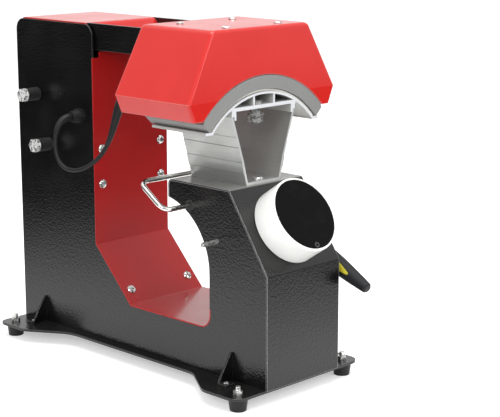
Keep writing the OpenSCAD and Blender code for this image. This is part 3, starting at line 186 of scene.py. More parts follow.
class Graph:
    """A shader tree, with one method that makes any node."""

    def __init__(self, tree: bpy.types.NodeTree) -> None:
        """Empties the tree."""
        self.tree = tree
        self.tree.nodes.clear()

    def node(self, kind: str, settings: dict[str, Any], inputs: dict[Any, Any], output: Any = 0) -> Wire:
        """Makes one node.

        Args:
            kind: the node's type.
            settings: its settings, set first.
            inputs: values or wires for its sockets, by name or number.
            output: the output that is returned.

        Returns:
            The wire of that output.
        """
        made = self.tree.nodes.new(kind)
        for key, value in settings.items():
            setattr(made, key, value)
        for key, value in inputs.items():
            self.join(value, made.inputs[key])
        return Wire(self, made.outputs[output])

    def join(self, value: Any, socket: Any) -> None:
        """Links a wire to a socket, or sets the socket to a plain value."""
        if isinstance(value, Wire):
            self.tree.links.new(value.socket, socket)
        else:
            socket.default_value = value

    def place(self, scale: Sequence[float] = (1.0, 1.0, 1.0)) -> Wire:
        """The point on the object in metres, stretched by a scale along each axis."""
        spot = self.node("ShaderNodeTexCoord", {}, {}, "Object")
        return self.node("ShaderNodeMapping", {}, {"Vector": spot, "Scale": tuple(scale)})

    def axis(self, name: str) -> Wire:
        """One coordinate of the point on the object, in metres."""
        spot = self.node("ShaderNodeTexCoord", {}, {}, "Object")
        return self.node("ShaderNodeSeparateXYZ", {}, {"Vector": spot}, name)

    def noise(self, size: float, detail: float = 2.0, roughness: float = 0.5,
              stretch: Sequence[float] = (1.0, 1.0, 1.0)) -> Wire:
        """Soft noise.

        Args:
            size: the size of its cells in metres.
            detail: how many finer layers it has.
            roughness: how strong the finer layers are.
            stretch: scale of the pattern along each axis.

        Returns:
            A number around 0.5.
        """
        return self.node("ShaderNodeTexNoise", {}, {"Vector": self.place(stretch), "Scale": 1 / size,
                         "Detail": detail, "Roughness": roughness}, "Fac")

    def cells(self, size: float) -> Wire:
        """Distance to the nearest of scattered points, for pebbled and sparkling surfaces."""
        return self.node("ShaderNodeTexVoronoi", {}, {"Vector": self.place(), "Scale": 1 / size}, "Distance")

    def mix(self, share: Any, first: Any, second: Any) -> Wire:
        """A colour between two, by a share from 0 to 1."""
        def full(colour: Any) -> Any:
            """A plain colour with its alpha, or the wire itself."""
            return colour if isinstance(colour, Wire) else (*colour, 1.0)

        return self.node("ShaderNodeMix", {"data_type": "RGBA"}, {0: share, 6: full(first), 7: full(second)}, 2)

    def bump(self, height: Wire, depth: float, strength: float = 1.0, base: Wire | None = None) -> Wire:
        """A normal from a height pattern.

        Args:
            height: the pattern, from 0 to 1.
            depth: the height in metres that 1 stands for.
            strength: how much of the effect is used.
            base: the normal that the pattern lies on, instead of the face's own.

        Returns:
            The normal.
        """
        inputs = {"Height": height, "Distance": depth, "Strength": strength}
        if base is not None:
            inputs["Normal"] = base
        return self.node("ShaderNodeBump", {}, inputs, "Normal")

    def soft_edge(self, radius: float, samples: int = 6) -> tuple[Wire, Wire]:
        """Rounds the look of sharp edges.

        Args:
            radius: how far the rounding reaches from an edge, in metres.
            samples: how finely it is worked out.

        Returns:
            The rounded normal, and how far it leans away from the face's own.
        """
        rounded = self.node("ShaderNodeBevel", {"samples": samples}, {"Radius": radius}, "Normal")
        flat = self.node("ShaderNodeNewGeometry", {}, {}, "Normal")
        same = self.node("ShaderNodeVectorMath", {"operation": "DOT_PRODUCT"}, {0: rounded, 1: flat}, "Value")
        return rounded, 1 - same

    def facing_up(self) -> Wire:
        """How far the face looks up: 1 for a level top, 0 for an upright side."""
        normal = self.node("ShaderNodeNewGeometry", {}, {}, "Normal")
        return self.node("ShaderNodeSeparateXYZ", {}, {"Vector": normal}, "Z")

    def rays(self, *names: str) -> Wire:
        """1 for the kinds of ray that are named as on the Light Path node, else 0."""
        found = [self.node("ShaderNodeLightPath", {}, {}, name) for name in names]
        return sum(found[1:], found[0]).clamp()


class Surface(Graph):
    """A material's tree around one surface shader."""

    def __init__(self, name: str) -> None:
        """Makes an empty material with a surface shader."""
        self.material = bpy.data.materials.new(name)
        self.material.use_nodes = True
        super().__init__(self.material.node_tree)
        self.surface = self.tree.nodes.new("ShaderNodeBsdfPrincipled")
        self.output = self.tree.nodes.new("ShaderNodeOutputMaterial")
        self.tree.links.new(self.surface.outputs[0], self.output.inputs["Surface"])

    def finish(self, **values: Any) -> bpy.types.Material:
        """Sets the surface shader's sockets by name, with _ for a space, and returns the material."""
        for key, value in values.items():
            socket = self.surface.inputs[key.replace("_", " ")]
            if isinstance(value, tuple) and len(value) == 3 and socket.type == "RGBA":
                value = (*value, 1.0)
            self.join(value, socket)
        return self.material


# Finishes


@dataclass(frozen=True)
class PowderCoat:
    """Black powder coat: pebbled, half glossy, with dust and faint handling marks, level tops made lighter partly by
    dust and partly as a painted reflection, and a painted highlight along its edges.
    """

    name: str = "powder_coat_black"
    colour: Colour = (0.0026, 0.0025, 0.0025)
    dust: Colour = (0.022, 0.021, 0.020)
    pebble: float = 0.0027
    depth: float = 0.00028
    # Share and colour of the lighter level tops: partly dust, partly a painted reflection.
    top: float = 0.05
    top_dust_and_sheen: Colour = (0.13, 0.13, 0.125)
    edge: float = 0.0013
    # Along the coat's edges this colour is a painted highlight line.
    wear_and_highlight: Colour = (0.11, 0.11, 0.11)

    def build(self) -> bpy.types.Material:
        """Makes the material."""
        g = Surface(self.name)
        pebbles = g.cells(self.pebble)
        grit = g.noise(self.pebble * 0.45, 3.0, 0.6)
        smear = g.noise(0.055, 4.0, 0.55)
        fleck = g.noise(0.0016, 1.0, 0.5).above(0.66, 0.06)
        height = pebbles * 0.75 + grit * 0.25
        tone = g.mix(smear.above(0.6, 0.3) * 0.18 + fleck * 0.10, self.colour, self.dust)
        # Level tops lightened: partly dust, partly a painted reflection.
        tone = g.mix(g.facing_up().above(0.8, 0.3) * (smear + 0.5) * self.top, tone, self.top_dust_and_sheen)
        rounded, lean = g.soft_edge(self.edge)
        # Painted highlight along the edges, found by the shader's rounding.
        tone = g.mix(lean.above(0.10, 0.16) * 0.7, tone, self.wear_and_highlight)
        return g.finish(Base_Color=tone, Roughness=(smear * 0.14 + grit * 0.10 + 0.10).clamp(),
                        Specular_IOR_Level=0.5, Normal=g.bump(height, self.depth, 0.85, rounded))


@dataclass(frozen=True)
class RedPaint:
    """Glossy red stoved paint over folded sheet, with a light orange peel and a painted highlight along its edges."""

    name: str = "red_paint"
    colour: Colour = (0.50, 0.010, 0.006)
    deep: Colour = (0.42, 0.007, 0.005)
    roughness: float = 0.24
    peel: float = 0.0032
    depth: float = 0.00004
    gloss: float = 0.5
    edge: float = 0.0015
    # Colour of the painted highlight along the edges.
    shine: Colour = (0.95, 0.52, 0.48)
    level_gloss: float = 0.0

    def build(self) -> bpy.types.Material:
        """Makes the material."""
        g = Surface(self.name)
        wave = g.noise(self.peel, 2.0, 0.45)
        rounded, lean = g.soft_edge(self.edge)
        level = g.facing_up().above(0.7, 0.4) * self.level_gloss
        smear = g.noise(0.07, 4.0, 0.6)
        fleck = g.noise(0.0013, 0.0).above(0.7, 0.05)
        tone = g.mix(smear.above(0.52, 0.5) * 0.55 + fleck * 0.25, self.colour, self.deep)
        # Painted highlight along the edges, found by the shader's rounding.
        tone = g.mix(lean.above(0.08, 0.12) * 0.6, tone, self.shine)
        return g.finish(Base_Color=tone, Roughness=(smear * 0.16 + self.roughness - 0.08).clamp(),
                        Coat_Weight=((0.9 - smear * 0.5) * self.gloss + level).clamp(), Coat_Roughness=0.12,
                        Specular_IOR_Level=0.8 * self.gloss,
                        Normal=g.bump(wave, self.depth, 0.8, rounded))


@dataclass(frozen=True)
class WorkedMetal:
    """Bare or plated metal with the fine lines that its working leaves; sawn ends can be painted near-white as a
    highlight and dark streaks painted in as reflections.
    """

    name: str
    colour: Colour
    shade: Colour
    roughness: float
    grain: Grain = Grain.NONE
    line: float = 0.0009
    depth: float = 0.00002
    metallic: float = 1.0
    cut_y: float = -1.0
    # Colour of the sawn ends: bare cut metal, painted paler as a highlight.
    cut: Colour = (0.84, 0.85, 0.87)
    # Dark streaks painted on as reflections, standing in for the shape of bolt heads.
    dark_reflection_share: float = 0.0
    dark_reflection_size: float = 0.0034
    dark_reflection_colour: Colour = (0.06, 0.06, 0.06)

    def build(self) -> bpy.types.Material:
        """Makes the material; where the piece lies in front of cut_y its sawn ends are bare metal, painted near-white
        and mostly non-metallic as a highlight.
        """
        g = Surface(self.name)
        sawn = 1 - g.axis("Y").above(self.cut_y, 0.0006)
        lines = g.noise(self.line, 3.0, 0.6, self.grain.value)
        cloud = g.noise(0.028, 4.0, 0.6)
        pit = g.noise(self.line * 1.6, 1.0, 0.4).above(0.72, 0.08)
        tone = g.mix((lines * 0.45 + cloud * 0.55).above(0.5, 0.5), self.colour, self.shade)
        # Sawn ends: bare cut metal, painted near-white and less metallic as a highlight.
        tone = g.mix(sawn * (lines * 0.3 + 0.65).clamp(), tone, self.cut)
        # Painted dark reflections in streaks.
        tone = g.mix(g.noise(self.dark_reflection_size, 1.5, 0.6).above(0.54, 0.10) * self.dark_reflection_share, tone, self.dark_reflection_colour)
        rough = lines * 0.14 + cloud * 0.16 + (self.roughness - 0.15) + pit * 0.12
        return g.finish(Base_Color=tone, Metallic=(1 - sawn * 0.9) * self.metallic, Roughness=rough.clamp(),
                        Normal=g.bump(lines * 0.8 + pit * 0.2, self.depth, 0.8))


@dataclass(frozen=True)
class MouldedPlastic:
    """Moulded plastic or rubber with a fine texture and uneven sheen."""

    name: str
    colour: Colour
    shade: Colour
    roughness: float
    texture: float = 0.0008
    depth: float = 0.00003
    coat: float = 0.0
    gloss: float = 0.5

    def build(self) -> bpy.types.Material:
        """Makes the material."""
        g = Surface(self.name)
        skin = g.noise(self.texture, 2.0, 0.55)
        cloud = g.noise(0.02, 4.0, 0.6)
        tone = g.mix(cloud.above(0.5, 0.5) * 0.6 + skin.above(0.62, 0.2) * 0.4, self.colour, self.shade)
        return g.finish(Base_Color=tone, Roughness=(cloud * 0.16 + skin * 0.08 + self.roughness - 0.12).clamp(),
                        Coat_Weight=self.coat, Coat_Roughness=0.06, Specular_IOR_Level=self.gloss,
                        Normal=g.bump(skin, self.depth, 0.7))


@dataclass(frozen=True)
class Silicone:
    """The pad's off-white silicone sponge: fine pores, slightly yellowed in patches."""

    name: str = "silicone_sponge"
    colour: Colour = (0.80, 0.79, 0.75)
    # In the sponge this colour is only its yellowed wear.
    wear_and_highlight: Colour = (0.70, 0.67, 0.58)

    def build(self) -> bpy.types.Material:
        """Makes the material."""
        g = Surface(self.name)
        pores = g.cells(0.0011)
        cloud = g.noise(0.024, 5.0, 0.6)
        tone = g.mix(cloud.above(0.56, 0.35) * 0.55 + (1 - pores.above(0.25, 0.3)) * 0.2, self.colour, self.wear_and_highlight)
        return g.finish(Base_Color=tone, Roughness=(cloud * 0.15 + 0.55).clamp(), Specular_IOR_Level=0.35,
                        Normal=g.bump(pores.above(0.3, 0.5), 0.00008, 0.6))


@dataclass(frozen=True)
class CircuitBoard:
    """Lacquered board with tracks and pads."""

    name: str = "circuit_board"
    colour: Colour = (0.012, 0.09, 0.035)
    track: Colour = (0.05, 0.24, 0.09)

    def build(self) -> bpy.types.Material:
        """Makes the material."""
        g = Surface(self.name)
        tracks = g.node("ShaderNodeTexBrick", {"offset": 0.5}, {"Vector": g.place(), "Scale": 120.0,
                        "Mortar Size": 0.03}, "Fac")
        cloud = g.noise(0.01, 3.0)
        return g.finish(Base_Color=g.mix((tracks * 0.8 + cloud * 0.1).clamp(), self.colour, self.track),
                        Roughness=(cloud * 0.2 + 0.25).clamp(), Normal=g.bump(tracks, 0.00004, 0.6))


@dataclass(frozen=True)
class HeaterSilicone:
    """Orange-brown silicone over heating wire, whose runs show as ridges."""

    name: str = "heater_silicone"
    colour: Colour = (0.42, 0.11, 0.04)
    ridge: Colour = (0.55, 0.20, 0.09)

    def build(self) -> bpy.types.Material:
        """Makes the material."""
        g = Surface(self.name)
        runs = g.node("ShaderNodeTexWave", {"wave_type": "BANDS", "bands_direction": "Y"},
                      {"Vector": g.place(), "Scale": 45.0, "Distortion": 0.4}, "Fac")
        weave = g.cells(0.0012)
        return g.finish(Base_Color=g.mix((runs * 0.7 + weave * 0.2).clamp(), self.colour, self.ridge),
                        Roughness=(weave * 0.3 + 0.5).clamp(),
                        Normal=g.bump(runs * 0.8 + weave * 0.2, 0.0003, 0.8))


@dataclass(frozen=True)
class BlackGlass:
    """The control unit's dark front: near black and smooth, with faint finger smears."""

    name: str = "black_glass"
    colour: Colour = (0.0030, 0.0030, 0.0032)

    def build(self) -> bpy.types.Material:
        """Makes the material."""
        g = Surface(self.name)
        smear = g.noise(0.014, 5.0, 0.65)
        tone = g.mix(smear.above(0.62, 0.2) * 0.25, self.colour, (0.012, 0.012, 0.013))
        return g.finish(Base_Color=tone, Roughness=(smear * 0.25 + 0.10).clamp(), Specular_IOR_Level=0.05,
                        Normal=g.bump(g.noise(0.03, 1.0), 0.00002, 0.4))


SAWN_FRONT = -0.14175
"""Y, in metres, just behind the stand's front ends."""


def finishes() -> dict[str, bpy.types.Material]:
    """Makes every material.

    Returns:
        The material of each of the record's slots, with a few more for the scene's own pieces.
    """
    return {
        "black_coat": PowderCoat().build(),
        # The nose's copy of the black coat: its level tops take a paler colour at full share as a painted reflection,
        # and its edges a brighter painted highlight.
        "nose_coat": PowderCoat("powder_coat_nose", top=1.0, top_dust_and_sheen=(0.20, 0.20, 0.19),
                                wear_and_highlight=(0.5, 0.5, 0.5)).build(),
        "red_coat": RedPaint().build(),
        # Darker copy of the red paint for the throat panel, which stands in shadow: painted shade.
        "throat_red_shaded": RedPaint("red_paint_throat_shaded", (0.36, 0.004, 0.004), (0.29, 0.003, 0.003), 0.30, 0.0016,
                               0.00006, 0.25, shine=(0.45, 0.02, 0.02), level_gloss=0.6).build(),
        # The stand's and saddle's sawn front ends are painted pale as a highlight.
        "extruded_aluminium": WorkedMetal("extruded_aluminium", (0.53, 0.54, 0.52), (0.44, 0.45, 0.43), 0.40,
                                          Grain.ALONG_DEPTH, 0.0011, 0.00003, 0.82, SAWN_FRONT).build(),
        "saddle_aluminium": WorkedMetal("saddle_aluminium", (0.53, 0.54, 0.52), (0.44, 0.45, 0.43), 0.40,
                                        Grain.ALONG_DEPTH, 0.0011, 0.00003, 0.40, SAWN_FRONT,
                                        (0.58, 0.59, 0.62)).build(),
        "platen_aluminium": WorkedMetal("platen_aluminium", (0.33, 0.33, 0.325), (0.27, 0.27, 0.265), 0.46,
                                        Grain.ALONG_DEPTH, 0.0008, 0.00003, 0.55).build(),
        "zinc_steel": WorkedMetal("zinc_steel", (0.58, 0.59, 0.60), (0.46, 0.47, 0.50), 0.36).build(),
        # Plated screws and pivot bolts: a pale colour with lowered metallic paints their bright reflection, and dark
        # streaks paint the dark one.
        "chrome_screws": WorkedMetal("plated_screws", (0.86, 0.86, 0.84), (0.60, 0.60, 0.59), 0.24,
                                     metallic=0.80, dark_reflection_share=0.75).build(),
        "pivot_chrome": WorkedMetal("pivot_chrome", (0.92, 0.92, 0.91), (0.70, 0.70, 0.70), 0.22,
                                    metallic=0.35, dark_reflection_share=0.85).build(),
        "chrome_wire": WorkedMetal("chrome_wire", (0.86, 0.85, 0.82), (0.74, 0.73, 0.70), 0.14,
                                   Grain.NONE, 0.0007, 0.00001).build(),
        "rubber": MouldedPlastic("rubber_black", (0.008, 0.008, 0.009), (0.018, 0.018, 0.018), 0.45,
                                 0.0008, 0.00003, 0.0, 0.3).build(),
        "silicone_pad": Silicone().build(),
        "white_plastic": MouldedPlastic("plastic_white", (0.83, 0.835, 0.81), (0.76, 0.765, 0.74), 0.30,
                                        0.0006, 0.00001, 0.25).build(),
        "black_glass": BlackGlass().build(),
        "black_plastic": MouldedPlastic("plastic_black", (0.009, 0.009, 0.0095), (0.017, 0.017, 0.017), 0.50,
                                        0.0008, 0.00003, 0.0, 0.35).build(),
        "circuit_board": CircuitBoard().build(),
        "grip_rubber": MouldedPlastic("grip_rubber", (0.011, 0.0115, 0.013), (0.020, 0.021, 0.023), 0.50,
                                      0.0009, 0.00007, 0.0, 0.2).build(),
        "grip_yellow": MouldedPlastic("grip_yellow", (0.50, 0.44, 0.022), (0.40, 0.34, 0.015), 0.45).build(),
        "heater": HeaterSilicone().build(),
        "fibre": MouldedPlastic("fibre_laminate", (0.42, 0.27, 0.12), (0.32, 0.19, 0.08), 0.6, 0.001,
                                0.0001).build(),
        "icon_grey": MouldedPlastic("icon_grey", (0.16, 0.16, 0.165), (0.13, 0.13, 0.135), 0.5).build(),
    }


# Meshes

STOREY = Vector((0.0, -0.20566007, 0.018))


def at(x: float, y: float, z: float) -> Vector:
    """A point of the machine's own drawing, in millimetres from the middle of its base plate's front edge.

    Args:
        x: to the right, in millimetres.
        y: to the back, in millimetres.
        z: up from the top of the base plate, in millimetres.

    Returns:
        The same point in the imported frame, in metres.
    """
    return Vector((x, y, z)) * MM + STOREY


def mesh_object(name: str, points: Iterable[Vector], faces: Iterable[Sequence[int]],
                material: bpy.types.Material, smooth: bool = True) -> bpy.types.Object:
    """Makes a mesh object at the origin.

    Args:
        name: the piece's name.
        points: its vertices in metres.
        faces: its faces, as numbers of vertices.
        material: its finish.
        smooth: whether its faces are shaded smooth.

    Returns:
        The object.
    """
    mesh = bpy.data.meshes.new(name)
    mesh.from_pydata([tuple(p) for p in points], [], [tuple(f) for f in faces])
    mesh.materials.append(material)
    for face in mesh.polygons:
        face.use_smooth = smooth
    mesh.update()
    made = bpy.data.objects.new(name, mesh)
    bpy.context.scene.collection.objects.link(made)
    return made


def smooth_line(points: Sequence[Vector], steps: int) -> list[Vector]:
    """Rounds a given route.

    Args:
        points: the route's points.
        steps: how many pieces each stretch is cut into.

    Returns:
        Points on one smooth curve through the route.
    """
    ends = [points[0] * 2 - points[1], *points, points[-1] * 2 - points[-2]]
    line = []
    for a, b, c, d in zip(ends, ends[1:], ends[2:], ends[3:]):
        for k in range(steps):
            t = k / steps
            line.append(0.5 * (2 * b + (c - a) * t + (2 * a - 5 * b + 4 * c - d) * t * t
                               + (3 * b - a - 3 * c + d) * t ** 3))
    return [*line, points[-1].copy()]


def tube(name: str, line: Sequence[Vector], radius: float | Callable[[float], float], sides: int,
         material: bpy.types.Material) -> bpy.types.Object:
    """Makes a closed tube along a line.

    Args:
        name: the piece's name.
        line: its centreline.
        radius: its radius, or a function of the share of the way along it.
        sides: corners of its section.
        material: its finish.

    Returns:
        The object.
    """
    side = Vector((0.0, 0.0, 1.0))
    points: list[Vector] = []
    for k, spot in enumerate(line):
        ahead = (line[min(k + 1, len(line) - 1)] - line[max(k - 1, 0)]).normalized()
        side = (side - ahead * side.dot(ahead)).normalized()
        over = ahead.cross(side)
        r = radius(k / (len(line) - 1)) if callable(radius) else radius
        for i in range(sides):
            turn = 2 * math.pi * i / sides
            points.append(spot + (side * math.cos(turn) + over * math.sin(turn)) * r)
    faces: list[list[int]] = []
    for k in range(len(line) - 1):
        for i in range(sides):
            j = (i + 1) % sides
            faces.append([k * sides + i, k * sides + j, (k + 1) * sides + j, (k + 1) * sides + i])
    faces.append([i for i in reversed(range(sides))])
    faces.append([(len(line) - 1) * sides + i for i in range(sides)])
    return mesh_object(name, points, faces, material)


class GeometryTree:
    """A Geometry Nodes tree whose sizes are named inputs, turned into a plain mesh."""

    def __init__(self, name: str, sizes: dict[str, float | int], material: bpy.types.Material) -> None:
        """Starts a tree.

        Args:
            name: the piece's name.
            sizes: the inputs' names and values; whole numbers become integer inputs.
            material: the finish that the tree sets.
        """
        self.name = name
        self.sizes = sizes
        self.material = material
        self.tree = bpy.data.node_groups.new(name, "GeometryNodeTree")
        self.sockets = {key: self.tree.interface.new_socket(
            name=key, in_out="INPUT",
            socket_type="NodeSocketInt" if isinstance(value, int) else "NodeSocketFloat")
            for key, value in sizes.items()}
        self.tree.interface.new_socket(name="Geometry", in_out="OUTPUT", socket_type="NodeSocketGeometry")
        self.entry = self.tree.nodes.new("NodeGroupInput")

    def size(self, name: str) -> Any:
        """The socket of a named size."""
        return self.entry.outputs[name]

    def node(self, kind: str, settings: dict[str, Any], inputs: dict[Any, Any], output: Any = 0) -> Any:
        """Makes one node and returns one of its outputs; a socket given as an input is linked."""
        made = self.tree.nodes.new(kind)
        for key, value in settings.items():
            setattr(made, key, value)
        for key, value in inputs.items():
            values = value if isinstance(value, list) else [value]
            for one in values:
                if isinstance(one, bpy.types.NodeSocket):
                    self.tree.links.new(one, made.inputs[key])
                else:
                    made.inputs[key].default_value = one
        return made.outputs[output]

    def build(self, geometry: Any) -> bpy.types.Object:
        """Ends the tree and evaluates it.

        Args:
            geometry: the socket that holds the shape.

        Returns:
            A plain mesh object with the shape and its material.
        """
        real = self.node("GeometryNodeRealizeInstances", {}, {"Geometry": geometry})
        dressed = self.node("GeometryNodeSetMaterial", {}, {"Geometry": real, "Material": self.material})
        end = self.tree.nodes.new("NodeGroupOutput")
        self.tree.links.new(dressed, end.inputs["Geometry"])
        holder = bpy.data.objects.new(self.name + "_maker", bpy.data.meshes.new(self.name + "_maker"))
        bpy.context.scene.collection.objects.link(holder)
        modifier = holder.modifiers.new("maker", "NODES")
        modifier.node_group = self.tree
        for key, value in self.sizes.items():
            modifier[self.sockets[key].identifier] = value
        bpy.context.view_layer.update()
        graph = bpy.context.evaluated_depsgraph_get()
        mesh = bpy.data.meshes.new_from_object(holder.evaluated_get(graph))
        mesh.name = self.name
        holder.modifiers.remove(modifier)
        bpy.data.objects.remove(holder)
        made = bpy.data.objects.new(self.name, mesh)
        bpy.context.scene.collection.objects.link(made)
        return made


RIB_SIDES = 28
"""Straight pieces in a rib's ring."""
RIB_SECTION_SIDES = 8
"""Corners of a rib's own section."""


def ribs(name: str, start: Vector, end: Vector, radii: tuple[float, float], thickness: float, count: int,
         material: bpy.types.Material) -> bpy.types.Object:
    """Makes a row of round ribs along a straight axis.

    Args:
        name: the piece's name.
        start: the first rib's centre.
        end: the last rib's centre.
        radii: the first and the last rib's radius.
        thickness: a rib's thickness.
        count: how many there are.
        material: their finish.

    Returns:
        The object.
    """
    tree = GeometryTree(name, {"Count": count, "Length": (end - start).length, "Radius": 1.0,
                               "Share": thickness / 2}, material)
    line = tree.node("GeometryNodeMeshLine", {"mode": "END_POINTS"}, {"Count": tree.size("Count"),
                     "Start Location": (0.0, 0.0, 0.0), "Offset": (0.0, 0.0, (end - start).length)})
    index = tree.node("GeometryNodeInputIndex", {}, {})
    size = tree.node("ShaderNodeMapRange", {}, {"Value": index, "From Min": 0.0, "From Max": float(count - 1),
                     "To Min": radii[0], "To Max": radii[1]})
    ring = tree.node("GeometryNodeCurvePrimitiveCircle", {}, {"Resolution": RIB_SIDES, "Radius": tree.size("Radius")})
    spread = tree.node("GeometryNodeInstanceOnPoints", {}, {"Points": line, "Instance": ring, "Scale": size})
    loose = tree.node("GeometryNodeRealizeInstances", {}, {"Geometry": spread})
    section = tree.node("GeometryNodeCurvePrimitiveCircle", {}, {"Resolution": RIB_SECTION_SIDES,
                        "Radius": tree.size("Share")})
    solid = tree.node("GeometryNodeCurveToMesh", {}, {"Curve": loose, "Profile Curve": section})
    made = tree.build(tree.node("GeometryNodeSetShadeSmooth", {}, {"Geometry": solid}))
    turn = (end - start).to_track_quat("Z", "Y").to_matrix().to_4x4()
    made.data.transform(Matrix.Translation(start) @ turn)
    return made


# Sub-assemblies


@dataclass
class Camera:
    """The photograph's view: where the camera stood, what it was turned to, and its lens."""

    eye: Point = (-1.19020, -1.28576, 0.56900)
    target: Point = (0.12467, 0.00207, 0.16800)
    lens: float = 105.8
    sensor: float = 36.0

    def build(self) -> None:
        """Makes the camera, without shift or depth of field."""
        data = bpy.data.cameras.new("camera")
        data.lens = self.lens
        data.sensor_width = self.sensor
        data.sensor_fit = "HORIZONTAL"
        camera = bpy.data.objects.new("camera", data)
        look = Vector(self.target) - Vector(self.eye)
        camera.matrix_world = Matrix.Translation(self.eye) @ look.to_track_quat("-Z", "Y").to_matrix().to_4x4()
        bpy.context.scene.collection.objects.link(camera)
        bpy.context.scene.camera = camera


@dataclass
class HeadCable:
    """The cable that hangs in a loop from the left plate's gland to the hood's back wall."""

    diameter: float = 5.2 * MM
    sides: int = 20
    steps: int = 4
    mouth: Point = (-75, 318, 278.5)
    relief: Point = (-72, 200, 334)
    gland_steps: tuple[Point, ...] = (
        (0, 0, 0), (-4.5, 0, -0.2), (-10, 0.5, -1.7), (-14.6, 1.6, -5.3), (-17.8, 3.1, -10.9), (-19.6, 4.5, -18.3),
        (-20.6, 5.2, -27.1), (-21, 4.7, -36.5), (-21, 2.2, -45.7), (-20.5, -2.8, -53.5), (-19.4, -10, -58.6),
        (-18, -18.6, -60.6), (-16.6, -28, -60.2), (-15.2, -37.4, -57.8), (-13.6, -46.8, -53.6))
    relief_steps: tuple[Point, ...] = (
        (-14.8, 62.2, -103.3), (-12.8, 53.8, -96), (-10.8, 46.8, -87.2), (-8.8, 41.4, -77.2), (-7, 37.4, -66.6),
        (-5.2, 34.4, -55.6), (-3.4, 31.6, -44.6), (-1.9, 28.2, -33.8), (-0.9, 23.9, -23.8), (-0.3, 18.4, -15),
        (0, 12.6, -7.8), (0, 6.6, -2.6), (0, 0, 0))
    blend_start: Point = (-93, 299, 218)
    blend_end: Point = (-72, 205, 332)
    sleeve_r: float = 5.9 * MM
    sleeve_len: float = 92 * MM
    boot_r: float = 5.0 * MM
    boot_len: float = 34 * MM
    tip_r: float = 2.75 * MM
    sleeve_taper: float = 0.45
    boot_taper: float = 0.8

    def build(self, looks: dict[str, bpy.types.Material]) -> list[bpy.types.Object]:
        """Args:
            looks: the materials by name.

        Returns:
            The cable, its sleeve at the hood and its boot at the gland.
        """
        route = [at(*self.mouth) + Vector(step) * MM for step in self.gland_steps]
        route += [at(*self.relief) + Vector(step) * MM for step in self.relief_steps]
        line = smooth_line(route, self.steps)
        cable = tube("head_cable_tube", line, self.diameter / 2, self.sides, looks["rubber"])
        length = sum((b - a).length for a, b in zip(line, line[1:]))
        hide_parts("head_cable")
        sleeve = self.cover("cable_sleeve", line[::-1], self.sleeve_len, self.sleeve_r, self.sleeve_taper,
                            looks["rubber"])
        boot = self.cover("cable_boot", line, self.boot_len, self.boot_r, self.boot_taper, looks["rubber"])
        for piece in (cable, sleeve):
            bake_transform(piece)
        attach(boot, Body.FRAME.value)
        return [cable, sleeve, boot]

    def cover(self, name: str, line: Sequence[Vector], length: float, radius: float, taper: float,
              look: bpy.types.Material) -> bpy.types.Object:
        """Makes a thicker cover over one end of the cable.

        Args:
            name: the piece's name.
            line: the cable's centreline, from the end that is covered.
            length: how far the cover reaches.
            radius: its radius at the covered end.
            taper: the share of its length over which it narrows to its tip.
            look: its finish.

        Returns:
            The cover.
        """
        part, run = [line[0]], 0.0
        for a, b in zip(line, line[1:]):
            run += (b - a).length
            part.append(b)
            if run > length:
                break

        def width(share: float) -> float:
            """The cover's radius at a share of the way from its tip."""
            return min(radius, self.tip_r + (radius - self.tip_r) * share / taper)

        made = tube(name, part[::-1], width, self.sides, look)
        return made


@dataclass
class CablePassages:
    """Ribs on the gland's nose and on the hood's bend relief."""

    rib: float = 1.1 * MM
    gland_ribs: int = 4
    gland_span: tuple[float, float] = (1.4 * MM, 9 * MM)
    gland_radii: tuple[float, float] = (6.3 * MM, 7.9 * MM)
    relief_ribs: int = 6
    relief_span: tuple[float, float] = (1 * MM, 11 * MM)
    relief_radii: tuple[float, float] = (4.9 * MM, 6.2 * MM)

    def build(self, looks: dict[str, bpy.types.Material]) -> list[bpy.types.Object]:
        """Makes both rows of ribs.

        Args:
            looks: the materials by name.

        Returns:
            The two pieces.
        """
        low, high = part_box("cable_gland")
        gland = (low + high) / 2
        start, end = (Vector((low.x + reach, gland.y, gland.z)) for reach in self.gland_span)
        gland_row = ribs("gland_ribs", start, end, self.gland_radii, self.rib, self.gland_ribs, looks["rubber"])
        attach(gland_row, Body.FRAME.value)
        low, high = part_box("cable_relief")
        relief = (low + high) / 2
        start, end = (Vector((relief.x, high.y - reach, relief.z)) for reach in self.relief_span)
        relief_row = ribs("relief_ribs", start, end, self.relief_radii, self.rib, self.relief_ribs,
                          looks["rubber"])
        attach(relief_row, Body.HEAD.value)
        return [gland_row, relief_row]


@dataclass
class StandoffSleeves:
    """Ribbed sleeves over the two standoffs under the left plate's big bolts."""

    rib: float = 1.5 * MM
    count: int = 6

    def build(self, looks: dict[str, bpy.types.Material]) -> list[bpy.types.Object]:
        """Makes one row of ribs on each standoff.

        Args:
            looks: the materials by name.

        Returns:
            The two rows.
        """
        made = []
        vertices = [v.co.copy() for v in bpy.data.objects["pivot_spacers"].data.vertices]
        middle = (min(v.z for v in vertices) + max(v.z for v in vertices)) / 2
        halves = {"upper": [v for v in vertices if v.z > middle], "lower": [v for v in vertices if v.z <= middle]}
        for name, own in halves.items():
            low = Vector(min(v[i] for v in own) for i in range(3))
            high = Vector(max(v[i] for v in own) for i in range(3))
            centre = (low + high) / 2
            radius = (high.z - low.z) / 2
            row = ribs(f"standoff_ribs_{name}", Vector((low.x + self.rib, centre.y, centre.z)),
                       Vector((high.x - self.rib, centre.y, centre.z)), (radius, radius), self.rib, self.count,
                       looks["black_plastic"])
            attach(row, Body.FRAME.value)
            made.append(row)
        return made


